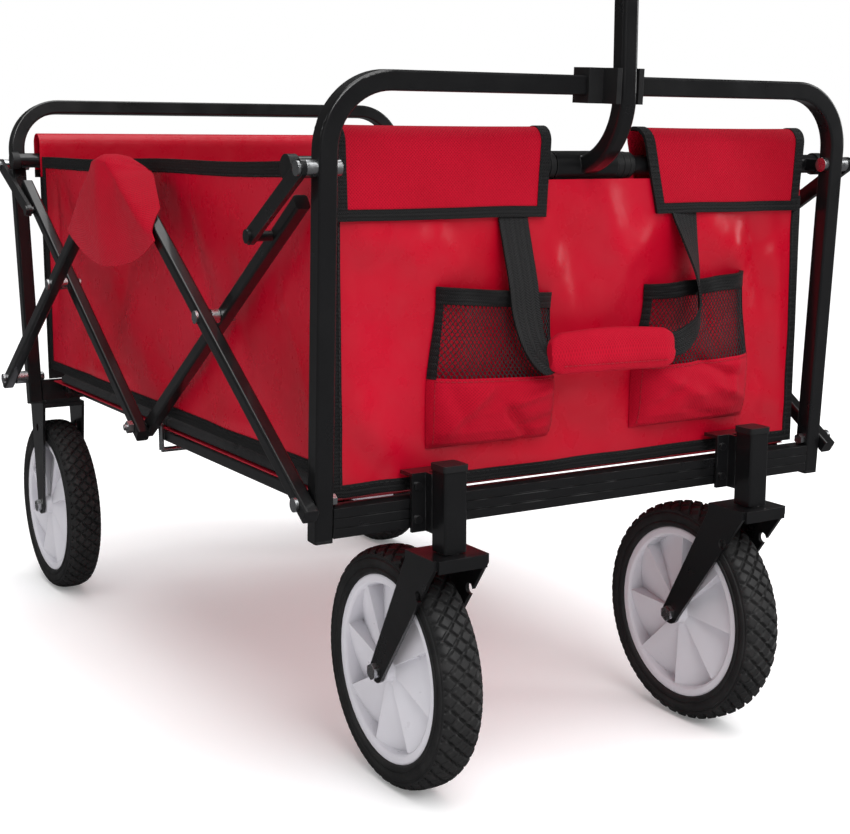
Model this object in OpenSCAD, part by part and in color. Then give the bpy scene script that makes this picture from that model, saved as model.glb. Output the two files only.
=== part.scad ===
// Folding utility wagon: two leaning end frames joined by a double scissor on each side,
// swivelling front wheels, fixed rear wheels, a telescoping pull handle and a fabric tub.
// Millimetres. X across the wagon, Y from the handle end to the rear, Z up from the floor.
// Origin on the floor under the middle of the bounding box.

/* [End frames] */
// overall width over the upright posts
frame_w = 507.5; // [420:0.5:560]
// distance between the bottoms of the two end frames
frame_gap = 731; // [600:1:880]
// height of the post bottoms above the floor
frame_bottom = 226; // [215:1:260]
// length of an end frame along its posts, bottom to top-bar centre
frame_h = 337; // [300:1:400]
// side of the square frame tube
tube = 15; // [12:0.5:20]
// wall of the steel tubes
wall = 1.2; // [0.8:0.1:2]
// bend radius of the top corners
bend_r = 50; // [35:1:80]
// outward lean of the handle-end frame
front_lean = 3; // [0:0.1:8]
// outward lean of the rear frame
rear_lean = 5.6; // [0:0.1:8]
// height of the cross rails
rail_h = 23; // [18:0.5:30]

/* [Scissor] */
// side of the square scissor bars
bar = 12; // [10:0.1:14.5]
// height of the bottom pivots above the floor
pivot_z = 257; // [245:1:275]
// angle of the bars from vertical, wagon open
open_angle = 56.5; // [50:0.5:62]
// angle of the bars from vertical, wagon folded
fold_angle = 12; // [10:0.5:20]
// diameter of the pivot bolts
pin_d = 6; // [5:0.1:7]
// distance from the short link's rivet to the bar's virtual top
link_reach = 90; // [70:1:110]

/* [Wheels] */
// wheel diameter
wheel_d = 200; // [166:1:204]
// tyre width
wheel_w = 37; // [30:0.1:45]
// diameter of the plastic hub
hub_d = 156; // [120:1:164]
// distance of each rear wheel's centre inside the outer face of the posts
rear_wheel_inset = 39.25; // [36:0.25:45]
// trail of the swivelling wheels
trail = 72; // [55:1:80]
// distance between the wheel centres at the front and the rear on one side
nest_step = 62.5; // [60:0.5:70]

/* [Handle] */
// side of the lower handle tube
handle_tube_w = 15; // [13:0.5:18]
// height of the top of the lower handle tube
handle_mid_z = 830; // [780:1:900]
// height of the top of the grip
handle_top_z = 985; // [930:1:1080]
// width of the grip
grip_w = 124; // [100:1:140]
// travel of the telescoping tube
handle_travel = 170; // [100:1:180]
// angle the handle swings forward from upright
handle_swing = 90; // [60:1:100]

/* [Fabric] */
// height of the side panels' top edge
side_top = 505; // [470:1:530]
// height of the front panel's top edge
front_top = 491; // [460:1:500]
// height of the standing flaps and the rear panel
flap_top = 532; // [515:1:550]
// distance of the side panels inside the outer face of the posts
tub_inset = 21.75; // [20.75:0.25:40]
// height of the mat's underside
mat_z = 253.5; // [253:0.5:262]

/* [Hidden] */
$fn = 64;
black = [0.07, 0.07, 0.075];
plastic = [0.12, 0.12, 0.125];
zinc = [0.72, 0.74, 0.76];
red = [0.75, 0.03, 0.12];
web = [0.08, 0.08, 0.085];
rubber = [0.09, 0.09, 0.09];
grey = [0.78, 0.78, 0.8];

// wheels set how far the wagon reaches along Y
wheel_r = wheel_d / 2;
swivel_y = -29;
front_axle_y = swivel_y + trail;
rear_axle_y = frame_gap + 19;
mid_y = (front_axle_y + rear_axle_y) / 2;

post_x = (frame_w - tube) / 2;
post_out = frame_w / 2;
post_in = frame_w / 2 - tube;
tub_x = post_out - tub_inset;
rear_wheel_x = post_out - rear_wheel_inset;
swivel_x = rear_wheel_x - nest_step;
rail_face = tube / 2;

// double scissor: four bars a side, all of one half length
half_span = frame_gap / 4;
half_len = half_span / sin(open_angle);
bar_len = 2 * half_len;
top_z = pivot_z + bar_len * cos(open_angle);
pin_r = pin_d / 2;
run_r = pin_r + 0.05;
lay_b = post_out - 12.75;
lay_c = lay_b + bar + 0.5;
lay_a = post_out + 0.45 + bar / 2;
lay_d = lay_a + bar + 0.4;
out_a = lay_a + bar / 2;
out_d = lay_d + bar / 2;
cap_x = lay_c + bar / 2 + 2.5;
link_x = cap_x + 0.6;
link_t = 4;
link_w = 13;

// cross tubes carried behind the posts, in each frame's own leaning plane
cross_off = 31;
cross_h = 274;
cross_r = 8;
cross_up = frame_bottom + cross_h - pivot_z;
front_cross_y = cross_off * cos(front_lean) - cross_up * sin(front_lean);
front_cross_z = pivot_z + cross_off * sin(front_lean) + cross_up * cos(front_lean);
rear_cross_off = cross_off * cos(rear_lean) - cross_up * sin(rear_lean);
panel_cut = front_cross_y + cross_r + 2;

// short link: its post pivot is as far from its rivet folded as it is open
rivet_r = bar_len - link_reach;
open_y = bar_len * sin(open_angle) - rivet_r * sin(open_angle);
open_z = pivot_z + rivet_r * cos(open_angle);
shut_y = bar_len * sin(fold_angle) - rivet_r * sin(fold_angle);
shut_z = pivot_z + rivet_r * cos(fold_angle);
function link_height(lean) =
    ((pow(shut_y, 2) + pow(shut_z, 2) - pow(open_y, 2) - pow(open_z, 2)) / 2
    - pivot_z * (shut_z - open_z))
    / (-sin(lean) * (shut_y - open_y) + cos(lean) * (shut_z - open_z));
front_link_h = link_height(front_lean);
rear_link_h = link_height(rear_lean);

// lower side rails
low_hinge = 26;
low_z = 246;
low_front_x = tub_x - 10;
low_rear_x = low_front_x - 16;
low_len = frame_gap / 2 - low_hinge;

// handle
handle_y = -37;
handle_bend = front_cross_y - handle_y;
arc_z = front_cross_z + handle_bend;
collar_h = 30;
grip_r = 14;

// carrying straps on the front panel
strap_lean = 20;
strap_len = 112;

module loc() {
    translate([0, -mid_y, 0]) children();
}

// mirrors its children onto both sides of the centre plane
module both() {
    children();
    mirror([1, 0, 0]) children();
}

// stands in the leaning plane of an end frame, which tilts about its bottom pivots
module lean(angle) {
    translate([0, 0, pivot_z]) rotate([angle, 0, 0]) translate([0, 0, -pivot_z]) children();
}

// rear end, turned to face the other way
module rear() {
    translate([0, frame_gap, 0]) mirror([0, 1, 0]) children();
}

module round_square(s, r) {
    square([s - 2 * r, s], center = true);
    square([s, s - 2 * r], center = true);
    for (i = [-1, 1], j = [-1, 1]) {
        translate([i * (s / 2 - r), j * (s / 2 - r)]) circle(r);
    }
}

module tube_profile(s, r, t) {
    difference() {
        round_square(s, r);
        round_square(s - 2 * t, max(r - t, 0.5));
    }
}

module x_cyl(x0, x1, r) {
    translate([x0, 0, 0]) rotate([0, 90, 0]) cylinder(h = x1 - x0, r = r);
}

module hex_x(x0, x1, r) {
    translate([x0, 0, 0]) rotate([0, 90, 0]) cylinder(h = x1 - x0, r = r, $fn = 6);
}

// inverted U of square tube with holes for its two pivots on each post
module end_frame(link_h) {
    top = frame_bottom + frame_h;
    difference() {
        union() {
            both() {
                translate([post_x, 0, frame_bottom + 2])
                    linear_extrude(top - bend_r - frame_bottom - 2) tube_profile(tube, 2, wall);
                translate([post_x - bend_r, 0, top - bend_r]) rotate([90, 0, 0])
                    rotate_extrude(angle = 90) translate([bend_r, 0]) tube_profile(tube, 2, wall);
            }
            translate([-(post_x - bend_r), 0, top]) rotate([0, 90, 0])
                linear_extrude(2 * (post_x - bend_r)) tube_profile(tube, 2, wall);
        }
        both() {
            translate([0, 0, pivot_z]) x_cyl(post_in - 1, post_out + 1, pin_r);
            translate([0, 0, pivot_z + link_h]) x_cyl(post_in - 1, post_out + 1, pin_r);
        }
    }
}

// box-section rail between the posts with two pressed grooves
module end_rail() {
    z0 = frame_bottom + 3;
    difference() {
        translate([-post_in, -tube / 2, z0]) cube([2 * post_in, tube, rail_h]);
        translate([-post_in - 1, -tube / 2 + wall + 0.4, z0 + wall])
            cube([2 * post_in + 2, tube - 2 * wall - 0.8, rail_h - 2 * wall]);
        for (i = [1, 2]) {
            translate([-post_in - 1, -tube / 2 - 1, z0 + i * rail_h / 3 - 0.6])
                cube([2 * post_in + 2, 1.8, 1.2]);
        }
    }
}

// upright lugs that carry the lower side rails
module rail_lugs() {
    both() {
        difference() {
            translate([low_front_x - 9.4, tube / 2 - 0.8, low_z - 7]) cube([3.1, low_hinge, 12.8]);
            translate([0, low_hinge, low_z]) x_cyl(low_front_x - 12, low_front_x, pin_r);
        }
    }
}

// pad under or in front of a rail that a wheel mount is welded to
module rail_pad(x, y0, y1, z0, z1) {
    both() translate([x - 20, y0, z0]) cube([40, y1 - y0, z1 - z0]);
}

// round cross tube held off the posts by two welded saddles
module cross_tube() {
    translate([0, cross_off, frame_bottom + cross_h]) difference() {
        union() {
            x_cyl(-post_out - 4, post_out + 4, cross_r);
            both() translate([post_x - 6, tube / 2 - cross_off, -5]) cube([12, cross_off - tube / 2, 10]);
        }
        x_cyl(-post_out - 5, post_out + 5, cross_r - wall);
    }
}

module end_caps() {
    both() {
        translate([0, cross_off, frame_bottom + cross_h]) {
            difference() {
                x_cyl(post_out + 0.5, cap_x, cross_r + 1.5);
                x_cyl(post_out, post_out + 4, cross_r);
            }
        }
        translate([post_x, 0, frame_bottom]) {
            linear_extrude(2) round_square(tube, 2);
            translate([0, 0, 2]) linear_extrude(9) round_square(tube - 2 * wall, 0.8);
        }
    }
}

// bolt through a post for the long bar and shouldered bolt for the short link
module pivot_bolts(link_h, long_end) {
    both() {
        translate([0, 0, pivot_z]) {
            x_cyl(post_in - 4, long_end, pin_r);
            hex_x(post_in - 4.5, post_in, 4.9);
            x_cyl(long_end, long_end + 2.6, 5.5);
        }
        translate([0, 0, pivot_z + link_h]) {
            x_cyl(post_in - 3, link_x + link_t + 0.2, pin_r);
            x_cyl(post_in - 4.5, post_in, 6);
            x_cyl(post_out, link_x - 0.2, 6);
            x_cyl(link_x + link_t + 0.2, link_x + link_t + 2.4, 5.5);
        }
    }
}

module rail_pins(x0, x1) {
    both() translate([0, low_hinge, low_z]) x_cyl(x0, x1, pin_r);
}

// spacer that carries the rear outer bar clear of the post
module bar_spacer() {
    both() translate([0, 0, pivot_z]) difference() {
        x_cyl(post_out, lay_d - bar / 2 - 0.2, 7);
        x_cyl(post_out - 1, lay_d, pin_r);
    }
}

module stem_socket() {
    difference() {
        union() {
            translate([0, swivel_y, 213]) linear_extrude(63) round_square(20, 2);
            translate([-22, -rail_face - 3.2, 226]) cube([44, 3.1, 46]);
            for (i = [-1, 1]) {
                translate([i * 8.5 - 1.5, -20, 226]) cube([3, 19 - rail_face, 46]);
            }
            translate([-22, -rail_face - 3.2, 269]) cube([44, rail_face + 10.5, 3]);
        }
        translate([0, swivel_y, 200]) cylinder(h = 64, r = 5.05);
    }
    for (i = [-1, 1], k = [236, 262]) {
        translate([i * 17, -rail_face - 3.2, k]) rotate([90, 0, 0]) cylinder(h = 2, r = 3.2);
    }
}

module socket_cap() {
    translate([0, swivel_y, 276]) linear_extrude(5) round_square(22, 3);
}

// plastic jaw on the top bar that holds the handle upright
module clip() {
    top = frame_bottom + frame_h;
    lean(front_lean) difference() {
        union() {
            translate([-26, -10.3, top - 13.5]) cube([52, 20.6, 27]);
            for (i = [-1, 1]) {
                translate([i * 10.5 - 2.3, -28, top - 13.5]) cube([4.6, 18, 27]);
            }
        }
        translate([-30, 0, top]) rotate([0, 90, 0]) linear_extrude(60) round_square(tube, 2);
    }
}

module panel_front() {
    translate([-tub_x - 1, 8, frame_bottom + 29]) cube([2 * tub_x + 2, 4, front_top - frame_bottom - 29]);
}

// sheet that loops over the cross tube, open below
module loop_profile(y0, y1, low_out, low_in) {
    polygon([[y0, low_out], [y0 + 2.5, low_out], [y0 + 2.5, flap_top - 2.5], [y1 - 2.5, flap_top - 2.5],
        [y1 - 2.5, low_in], [y1, low_in], [y1, flap_top], [y0, flap_top]]);
}

module x_sheet(x0, x1) {
    translate([x0, 0, 0]) rotate([90, 0, 90]) linear_extrude(x1 - x0) children();
}

module flaps() {
    x_sheet(-tub_x + 3.4, -47) loop_profile(4.8, front_cross_y + cross_r + 4, 461, 482);
    x_sheet(56, tub_x - 3.4) loop_profile(4.8, front_cross_y + cross_r + 4, 461, 482);
}

module bindings() {
    both() translate([tub_x - 7, 7, frame_bottom + 29]) cube([8, 1, 208]);
    translate([-tub_x + 7, 7, frame_bottom + 29]) cube([2 * tub_x - 14, 1, 9]);
    translate([-tub_x + 3.4, 3.8, 461]) cube([tub_x - 50.4, 1, 8]);
    translate([56, 3.8, 461]) cube([tub_x - 59.4, 1, 8]);
    translate([-55, 3.8, 469]) cube([8, 1, flap_top - 469]);
    translate([56, 3.8, 469]) cube([8, 1, flap_top - 469]);
    translate([-tub_x + 3.4, 3.8, 469]) cube([8, 1, flap_top - 469]);
    translate([tub_x - 11.4, 3.8, 469]) cube([8, 1, flap_top - 469]);
}

// bellows pocket: closed below, open at the top
module pocket(x0, x1, z0, z1) {
    difference() {
        x_sheet(x0, x1) polygon([[7, z0], [-18, z0], [-24, z0 + 18], [-24, z0 + 45], [-10.5, z1], [7, z1]]);
        x_sheet(x0 + 2.5, x1 - 2.5) polygon([[4.5, z0 + 2.5], [-16, z0 + 2.5], [-21.5, z0 + 18],
            [-21.5, z0 + 45], [-7.8, z1 + 1], [4.5, z1 + 1]]);
    }
}

// flat strap that leans away from the panel; its foot stands beside its top
module strap(x_top, x_foot) {
    translate([0, 5.8, 460]) rotate([90 - strap_lean, 0, 0]) linear_extrude(2.5)
        polygon([[x_top, 0], [x_top + 27, 0], [x_foot + 27, -strap_len], [x_foot, -strap_len]]);
}

module hand_roll() {
    x_sheet(-62, 60) {
        translate([-30, 366]) circle(6.5);
        translate([-30, 346]) circle(6.5);
        translate([-36.5, 346]) square([13, 20]);
    }
}

module lower_handle() {
    difference() {
        union() {
            translate([0, front_cross_y, front_cross_z]) x_cyl(-30, 30, 11.5);
            translate([0, front_cross_y, arc_z]) rotate([90, 0, 90]) rotate([0, 0, 180])
                rotate_extrude(angle = 90) translate([handle_bend, 0]) round_square(handle_tube_w, 3.5);
            translate([0, handle_y, arc_z])
                linear_extrude(handle_mid_z - arc_z) round_square(handle_tube_w, 3.5);
        }
        translate([0, handle_y, arc_z + 20])
            linear_extrude(handle_mid_z - arc_z) round_square(handle_tube_w - 2 * wall, 2.3);
        translate([0, front_cross_y, front_cross_z]) x_cyl(-31, 31, cross_r + 0.05);
    }
}

module collar() {
    translate([0, handle_y, handle_mid_z - collar_h + 8]) difference() {
        linear_extrude(collar_h) round_square(handle_tube_w + 11, 4);
        translate([0, 0, -1]) linear_extrude(collar_h - 7) round_square(handle_tube_w, 3.5);
        linear_extrude(collar_h + 1) round_square(handle_tube_w - 2 * wall, 2.3);
        translate([0, 0, 11]) rotate([90, 0, 0]) cylinder(h = 20, r = 4.55);
    }
}

module button() {
    translate([0, handle_y - handle_tube_w / 2 - 3.2, handle_mid_z - collar_h + 19])
        rotate([90, 0, 0]) cylinder(h = 4.8, r = 4.5);
}

module inner_tube() {
    translate([0, handle_y, handle_mid_z - 230])
        linear_extrude(handle_top_z - handle_mid_z + 230 - 100)
        tube_profile(handle_tube_w - 2 * wall - 0.4, 2.1, 1);
}

module grip() {
    top = handle_top_z - grip_r;
    in_w = handle_tube_w - 2 * wall - 0.4;
    difference() {
        union() {
            translate([0, handle_y, handle_mid_z + 20])
                linear_extrude(handle_top_z - handle_mid_z - 116) round_square(24, 6);
            translate([0, handle_y, top]) x_cyl(-grip_w / 2 + 9, grip_w / 2 - 9, 8.5);
            both() {
                hull() {
                    translate([3, handle_y, handle_top_z - 104]) sphere(8, $fn = 32);
                    translate([grip_w / 2 - 12, handle_y, top - 26]) sphere(8, $fn = 32);
                }
                hull() {
                    translate([grip_w / 2 - 12, handle_y, top - 26]) sphere(8, $fn = 32);
                    translate([grip_w / 2 - 9.5, handle_y, top]) sphere(9.5, $fn = 32);
                }
            }
        }
        translate([0, handle_y, handle_mid_z - 1])
            linear_extrude(handle_top_z - handle_mid_z - 99) round_square(in_w, 2.1);
    }
}

module sleeve() {
    translate([0, handle_y, handle_top_z - grip_r]) difference() {
        x_cyl(-grip_w / 2 + 20, grip_w / 2 - 20, grip_r);
        x_cyl(-grip_w / 2 + 19, grip_w / 2 - 19, 8.5);
    }
}

// fork leg: tapers from the plate to a rounded end at the axle
module leg_profile(y0, y1, z_top, ay) {
    difference() {
        union() {
            polygon([[y0, z_top], [y1, z_top], [ay + 9, wheel_r + 4], [ay - 9, wheel_r - 4]]);
            translate([ay, wheel_r]) circle(10);
        }
        translate([ay, wheel_r]) circle(4);
        translate([(y0 + y1) / 2 + 2, z_top - 26]) circle(4.5);
    }
}

module fork(y0, y1, z_top, thick, ay) {
    gap = wheel_w / 2 + 3;
    both() x_sheet(gap, gap + 3) leg_profile(y0, y1, z_top, ay);
    translate([-gap - 3, y0, z_top]) cube([2 * gap + 6, y1 - y0, thick]);
}

module caster() {
    fork(swivel_y - 18, swivel_y + 25, 205, 7, front_axle_y);
    translate([-wheel_w / 2 - 3, swivel_y - 20.5, 202]) cube([wheel_w + 6, 2.5, 10]);
    translate([0, swivel_y, 212]) cylinder(h = 50, r = 5);
    translate([0, swivel_y, 212]) cylinder(h = 0.8, r = 9);
}

module axle(y) {
    translate([0, y, wheel_r]) {
        x_cyl(-wheel_w / 2 - 6, wheel_w / 2 + 6, 4);
        both() hex_x(wheel_w / 2 + 6, wheel_w / 2 + 11, 7);
    }
}

module tyre(x, y) {
    translate([x, y, wheel_r]) rotate([0, 90, 0]) rotate_extrude($fn = 128) polygon([
        [hub_d / 2, -wheel_w / 2 + 2], [hub_d / 2 + 3, -wheel_w / 2], [wheel_r - 5, -wheel_w / 2 + 1],
        [wheel_r - 1.2, -wheel_w / 2 + 5], [wheel_r, -wheel_w / 2 + 11], [wheel_r, wheel_w / 2 - 11],
        [wheel_r - 1.2, wheel_w / 2 - 5], [wheel_r - 5, wheel_w / 2 - 1], [hub_d / 2 + 3, wheel_w / 2],
        [hub_d / 2, wheel_w / 2 - 2]]);
}

module hub(x, y) {
    translate([x, y, wheel_r]) rotate([0, 90, 0]) rotate_extrude($fn = 128) polygon([
        [4.06, -wheel_w / 2 - 2.5], [12, -wheel_w / 2 - 2.5], [15, -8], [hub_d / 2 - 9, -4],
        [hub_d / 2 - 6, -wheel_w / 2 + 3], [hub_d / 2, -wheel_w / 2 + 2], [hub_d / 2, wheel_w / 2 - 2],
        [hub_d / 2 - 6, wheel_w / 2 - 3], [hub_d / 2 - 9, 4], [15, 8], [12, wheel_w / 2 + 2.5],
        [4.06, wheel_w / 2 + 2.5]]);
}

// square bar with closed ends: below and beyond are its lengths past its end pivots
module sbar(len, below, beyond, holes) {
    difference() {
        union() {
            translate([0, 0, -below]) linear_extrude(len + below + beyond) tube_profile(bar, 2.5, wall);
            translate([0, 0, -below]) linear_extrude(3) round_square(bar - 1, 2);
            translate([0, 0, len + beyond - 3]) linear_extrude(3) round_square(bar - 1, 2);
        }
        for (h = holes) {
            translate([0, 0, h[0]]) x_cyl(-bar, bar, h[1]);
        }
    }
}

module bars(x, y, z, angle, len, below, beyond, holes) {
    both() translate([x, y, z]) rotate([angle, 0, 0]) sbar(len, below, beyond, holes);
}

module short_link(link_h, angle) {
    reach = link_len(angle);
    a = link_turn(link_h, angle);
    both() translate([0, 0, pivot_z + link_h]) {
        difference() {
            rotate([a, 0, 0]) union() {
                translate([link_x, 0, -link_w / 2]) cube([link_t, reach, link_w]);
                x_cyl(link_x, link_x + link_t, link_w / 2);
                translate([0, reach, 0]) x_cyl(link_x, link_x + link_t, link_w / 2);
            }
            x_cyl(link_x - 1, link_x + link_t + 1, run_r);
        }
    }
}

// plan of the short link in the leaning frame's own plane
function link_pivot(link_h, angle) = [-link_h * sin(angle), pivot_z + link_h * cos(angle)];
function link_vec(link_h, angle) =
    [open_y - link_pivot(link_h, angle)[0], open_z - link_pivot(link_h, angle)[1]];
function link_len(angle) = norm(link_vec(link_height(angle), angle));
function link_turn(link_h, angle) =
    atan2(link_vec(link_h, angle)[1], link_vec(link_h, angle)[0]) - angle;

module link_stub(link_h, angle, inner_x) {
    v = link_len(angle);
    a = link_turn(link_h, angle);
    both() translate([0, 0, pivot_z + link_h]) rotate([a, 0, 0]) translate([0, v, 0]) {
        x_cyl(inner_x + 0.3, link_x, 4);
        x_cyl(link_x + link_t, link_x + link_t + 2.2, 5.5);
    }
}

module low_rail(x) {
    both() translate([x, low_hinge, low_z]) rotate([-90, 0, 0]) difference() {
        union() {
            translate([0, 0, -7]) linear_extrude(low_len + 14) tube_profile(bar, 2.5, wall);
            translate([0, 0, -7]) linear_extrude(3) round_square(bar - 1, 2);
            translate([0, 0, low_len + 4]) linear_extrude(3) round_square(bar - 1, 2);
        }
        x_cyl(-bar, bar, run_r);
    }
}

// stiffened mat half with a fold line across it
module mat() {
    len = frame_gap / 2 - low_hinge - 15;
    difference() {
        translate([-tub_x + 6, low_hinge + 14, mat_z]) cube([2 * tub_x - 12, len, 9]);
        translate([-tub_x, low_hinge + 14 + len / 2, mat_z + 7]) cube([2 * tub_x, 3, 3]);
    }
}

// side panel with its top front corner cut away behind the cross tube
module side_panel() {
    difference() {
        translate([-tub_x, 13, 268]) cube([3, frame_gap - 32, side_top - 268]);
        translate([-tub_x - 1, 12, front_cross_z - cross_r - 2]) cube([5, panel_cut - 12, 60]);
    }
}

module bound_edges() {
    both() {
        translate([tub_x + 0.2, panel_cut, side_top - 12]) cube([1, frame_gap - 19 - panel_cut, 12]);
        translate([tub_x + 0.2, 13, 268]) cube([1, frame_gap - 32, 9]);
    }
}

module gusset() {
    y = frame_gap / 2;
    translate([out_d + 3.2, 0, 0]) x_sheet(0, 2) polygon([[y - 24, top_z + 13], [y + 24, top_z + 13],
        [y + 62, top_z - 28], [y + 108, top_z - 62], [y + 84, top_z - 74], [y + 46, top_z - 86],
        [y, top_z - 90], [y - 46, top_z - 86], [y - 84, top_z - 74], [y - 108, top_z - 62],
        [y - 62, top_z - 28]]);
    translate([tub_x + 2, y - 24, top_z + 11]) cube([out_d + 4 - tub_x, 48, 2]);
}

color(black) loc() lean(front_lean) end_frame(front_link_h);  // front_frame
union() {  // front_rail
    color(black) loc() {
        lean(front_lean) end_rail();
        rail_lugs();
        rail_pad(swivel_x, -rail_face - 0.1, 0, frame_bottom + 5, frame_bottom + rail_h);
    }
}
color(black) loc() lean(front_lean) cross_tube();  // front_cross_tube
union() {  // front_end_caps
    color(plastic) loc() {
        lean(front_lean) end_caps();
        both() translate([swivel_x, 0, 0]) socket_cap();
    }
}
union() {  // front_pivot_bolts
    color(zinc) loc() {
        lean(front_lean) pivot_bolts(front_link_h, out_a + 0.2);
        rail_pins(low_front_x - 9.4, low_front_x + 7);
    }
}
color(black) loc() both() translate([swivel_x, 0, 0]) stem_socket();  // stem_sockets
color(plastic) loc() clip();  // handle_clip
color(red) loc() panel_front();  // front_panel
color(red) loc() flaps();  // front_flaps
color(web) loc() bindings();  // front_bindings
union() {  // pockets
    color(red) loc() {
        pocket(-151, -37, 286, 411);
        pocket(47, 172, 284, 411);
    }
}
union() {  // carry_straps
    color(web) loc() {
        strap(-87.2, -89.6);
        strap(85.1, 60.4);
    }
}
color(red) loc() hand_roll();  // carry_grip
color(black) loc() lower_handle();  // handle_tube
color(plastic) loc() collar();  // handle_collar
color(plastic) loc() button();  // handle_button
color(black) loc() inner_tube();  // handle_inner_tube
color(plastic) loc() grip();  // handle_grip
color(rubber) loc() sleeve();  // grip_sleeve
color(black) loc() translate([-swivel_x, 0, 0]) caster();  // caster_fork_left
color(black) loc() translate([swivel_x, 0, 0]) caster();  // caster_fork_right
color(zinc) loc() translate([-swivel_x, 0, 0]) axle(front_axle_y);  // caster_axle_left
color(zinc) loc() translate([swivel_x, 0, 0]) axle(front_axle_y);  // caster_axle_right
color(rubber) loc() tyre(-swivel_x, front_axle_y);  // tyre_front_left
color(rubber) loc() tyre(swivel_x, front_axle_y);  // tyre_front_right
color(rubber) loc() tyre(-rear_wheel_x, rear_axle_y);  // tyre_rear_left
color(rubber) loc() tyre(rear_wheel_x, rear_axle_y);  // tyre_rear_right
color(grey) loc() hub(-swivel_x, front_axle_y);  // hub_front_left
color(grey) loc() hub(swivel_x, front_axle_y);  // hub_front_right
color(grey) loc() hub(-rear_wheel_x, rear_axle_y);  // hub_rear_left
color(grey) loc() hub(rear_wheel_x, rear_axle_y);  // hub_rear_right
color(black) loc() rear() lean(rear_lean) end_frame(rear_link_h);  // rear_frame
union() {  // rear_rail
    color(black) loc() {
        rear() lean(rear_lean) end_rail();
        rear() rail_lugs();
        rail_pad(rear_wheel_x, frame_gap - 7, frame_gap + 7, frame_bottom - 1, frame_bottom + 6);
    }
}
color(black) loc() rear() lean(rear_lean) cross_tube();  // rear_cross_tube
color(plastic) loc() rear() lean(rear_lean) end_caps();  // rear_end_caps
union() {  // rear_pivot_bolts
    color(zinc) loc() rear() {
        lean(rear_lean) {
            pivot_bolts(rear_link_h, out_d + 0.2);
            bar_spacer();
        }
        rail_pins(low_rear_x - 7, low_front_x - 6.3);
    }
}
union() {  // rear_forks
    color(black) loc() both() translate([rear_wheel_x, 0, 0])
        fork(frame_gap - 8, frame_gap + 40, frame_bottom - 6, 5, rear_axle_y);
}
color(zinc) loc() both() translate([rear_wheel_x, 0, 0]) axle(rear_axle_y);  // rear_axles
union() {  // rear_panel
    color(red) loc() rear() x_sheet(-tub_x - 1, tub_x + 1)
        loop_profile(rear_cross_off - cross_r - 4, 18, 482, frame_bottom + 29);
}
union() {  // rear_binding
    color(web) loc() rear() {
        both() translate([tub_x - 7, 18, frame_bottom + 38]) cube([8, 0.5, flap_top - frame_bottom - 44]);
    }
}
union() {  // scissor_front_outer
    color(black) loc() bars(lay_a, 0, pivot_z, -open_angle, bar_len, 14, 7,
        [[0, run_r], [half_len, pin_r], [bar_len, pin_r]]);
}
union() {  // scissor_front_inner
    color(black) loc() bars(lay_b, frame_gap / 2, pivot_z, open_angle, rivet_r, 14, 48,
        [[0, pin_r], [half_len, run_r]]);
}
union() {  // scissor_rear_inner
    color(black) loc() bars(lay_c, frame_gap / 2, pivot_z, -open_angle, rivet_r, 14, 48,
        [[0, run_r], [half_len, run_r]]);
}
union() {  // scissor_rear_outer
    color(black) loc() bars(lay_d, frame_gap, pivot_z, open_angle, bar_len, 14, 7,
        [[0, run_r], [half_len, pin_r], [bar_len, pin_r + 0.3]]);
}
union() {  // rivets_front
    color(zinc) loc() both() {
        translate([0, half_span, (pivot_z + top_z) / 2]) {
            x_cyl(lay_b - bar / 2 - 0.2, out_a, pin_r);
            x_cyl(lay_b - bar / 2 - 2, lay_b - bar / 2 - 0.2, 5);
            x_cyl(lay_b + bar / 2 + 0.3, lay_a - bar / 2, 6);
            x_cyl(out_a, out_a + 2.2, 5.5);
        }
        translate([0, frame_gap / 2, top_z]) {
            x_cyl(lay_a - bar / 2, out_d + 0.3, pin_r);
            x_cyl(out_d + 0.3, out_d + 2.6, 5);
        }
    }
}
union() {  // rivets_rear
    color(zinc) loc() both() translate([0, frame_gap - half_span, (pivot_z + top_z) / 2]) {
        x_cyl(lay_c - bar / 2 - 0.2, out_d, pin_r);
        x_cyl(lay_c - bar / 2 - 2, lay_c - bar / 2 - 0.2, 5);
        x_cyl(lay_c + bar / 2 + 0.3, lay_d - bar / 2, 6);
        x_cyl(out_d, out_d + 2.2, 5.5);
    }
}
union() {  // centre_rod
    color(zinc) loc() {
        both() {
            translate([0, frame_gap / 2, pivot_z]) {
                x_cyl(tub_x - 1, lay_c + bar / 2 + 8, pin_r);
                hex_x(lay_c + bar / 2 + 0.3, lay_c + bar / 2 + 5.5, 6);
            }
            translate([tub_x - 1, frame_gap / 2, pivot_z - 25]) cylinder(h = 25, r = 2.5);
        }
        translate([0, frame_gap / 2, pivot_z - 25]) x_cyl(-tub_x + 1, tub_x - 1, 2.5);
    }
}
union() {  // front_links
    color(black) loc() lean(front_lean) {
        short_link(front_link_h, front_lean);
        link_stub(front_link_h, front_lean, lay_b + bar / 2);
    }
}
union() {  // rear_links
    color(black) loc() rear() lean(rear_lean) {
        short_link(rear_link_h, rear_lean);
        link_stub(rear_link_h, rear_lean, lay_c + bar / 2);
    }
}
color(red) loc() both() gusset();  // side_gussets
union() {  // lower_rails_front
    color(black) loc() {
        low_rail(low_front_x);
        both() translate([0, frame_gap / 2, low_z]) x_cyl(low_front_x - 9.7, low_front_x - 6, 4);
    }
}
color(black) loc() rear() low_rail(low_rear_x);  // lower_rails_rear
color(plastic) loc() mat();  // mat_front
color(plastic) loc() rear() mat();  // mat_rear
union() {  // floor_cloth
    color(red) loc() translate([-tub_x + 4, 13, mat_z - 1.2]) cube([2 * tub_x - 8, frame_gap - 32, 0.9]);
}
color(red) loc() side_panel();  // side_panel_left
color(red) loc() mirror([1, 0, 0]) side_panel();  // side_panel_right
color(web) loc() bound_edges();  // side_bindings
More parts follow.
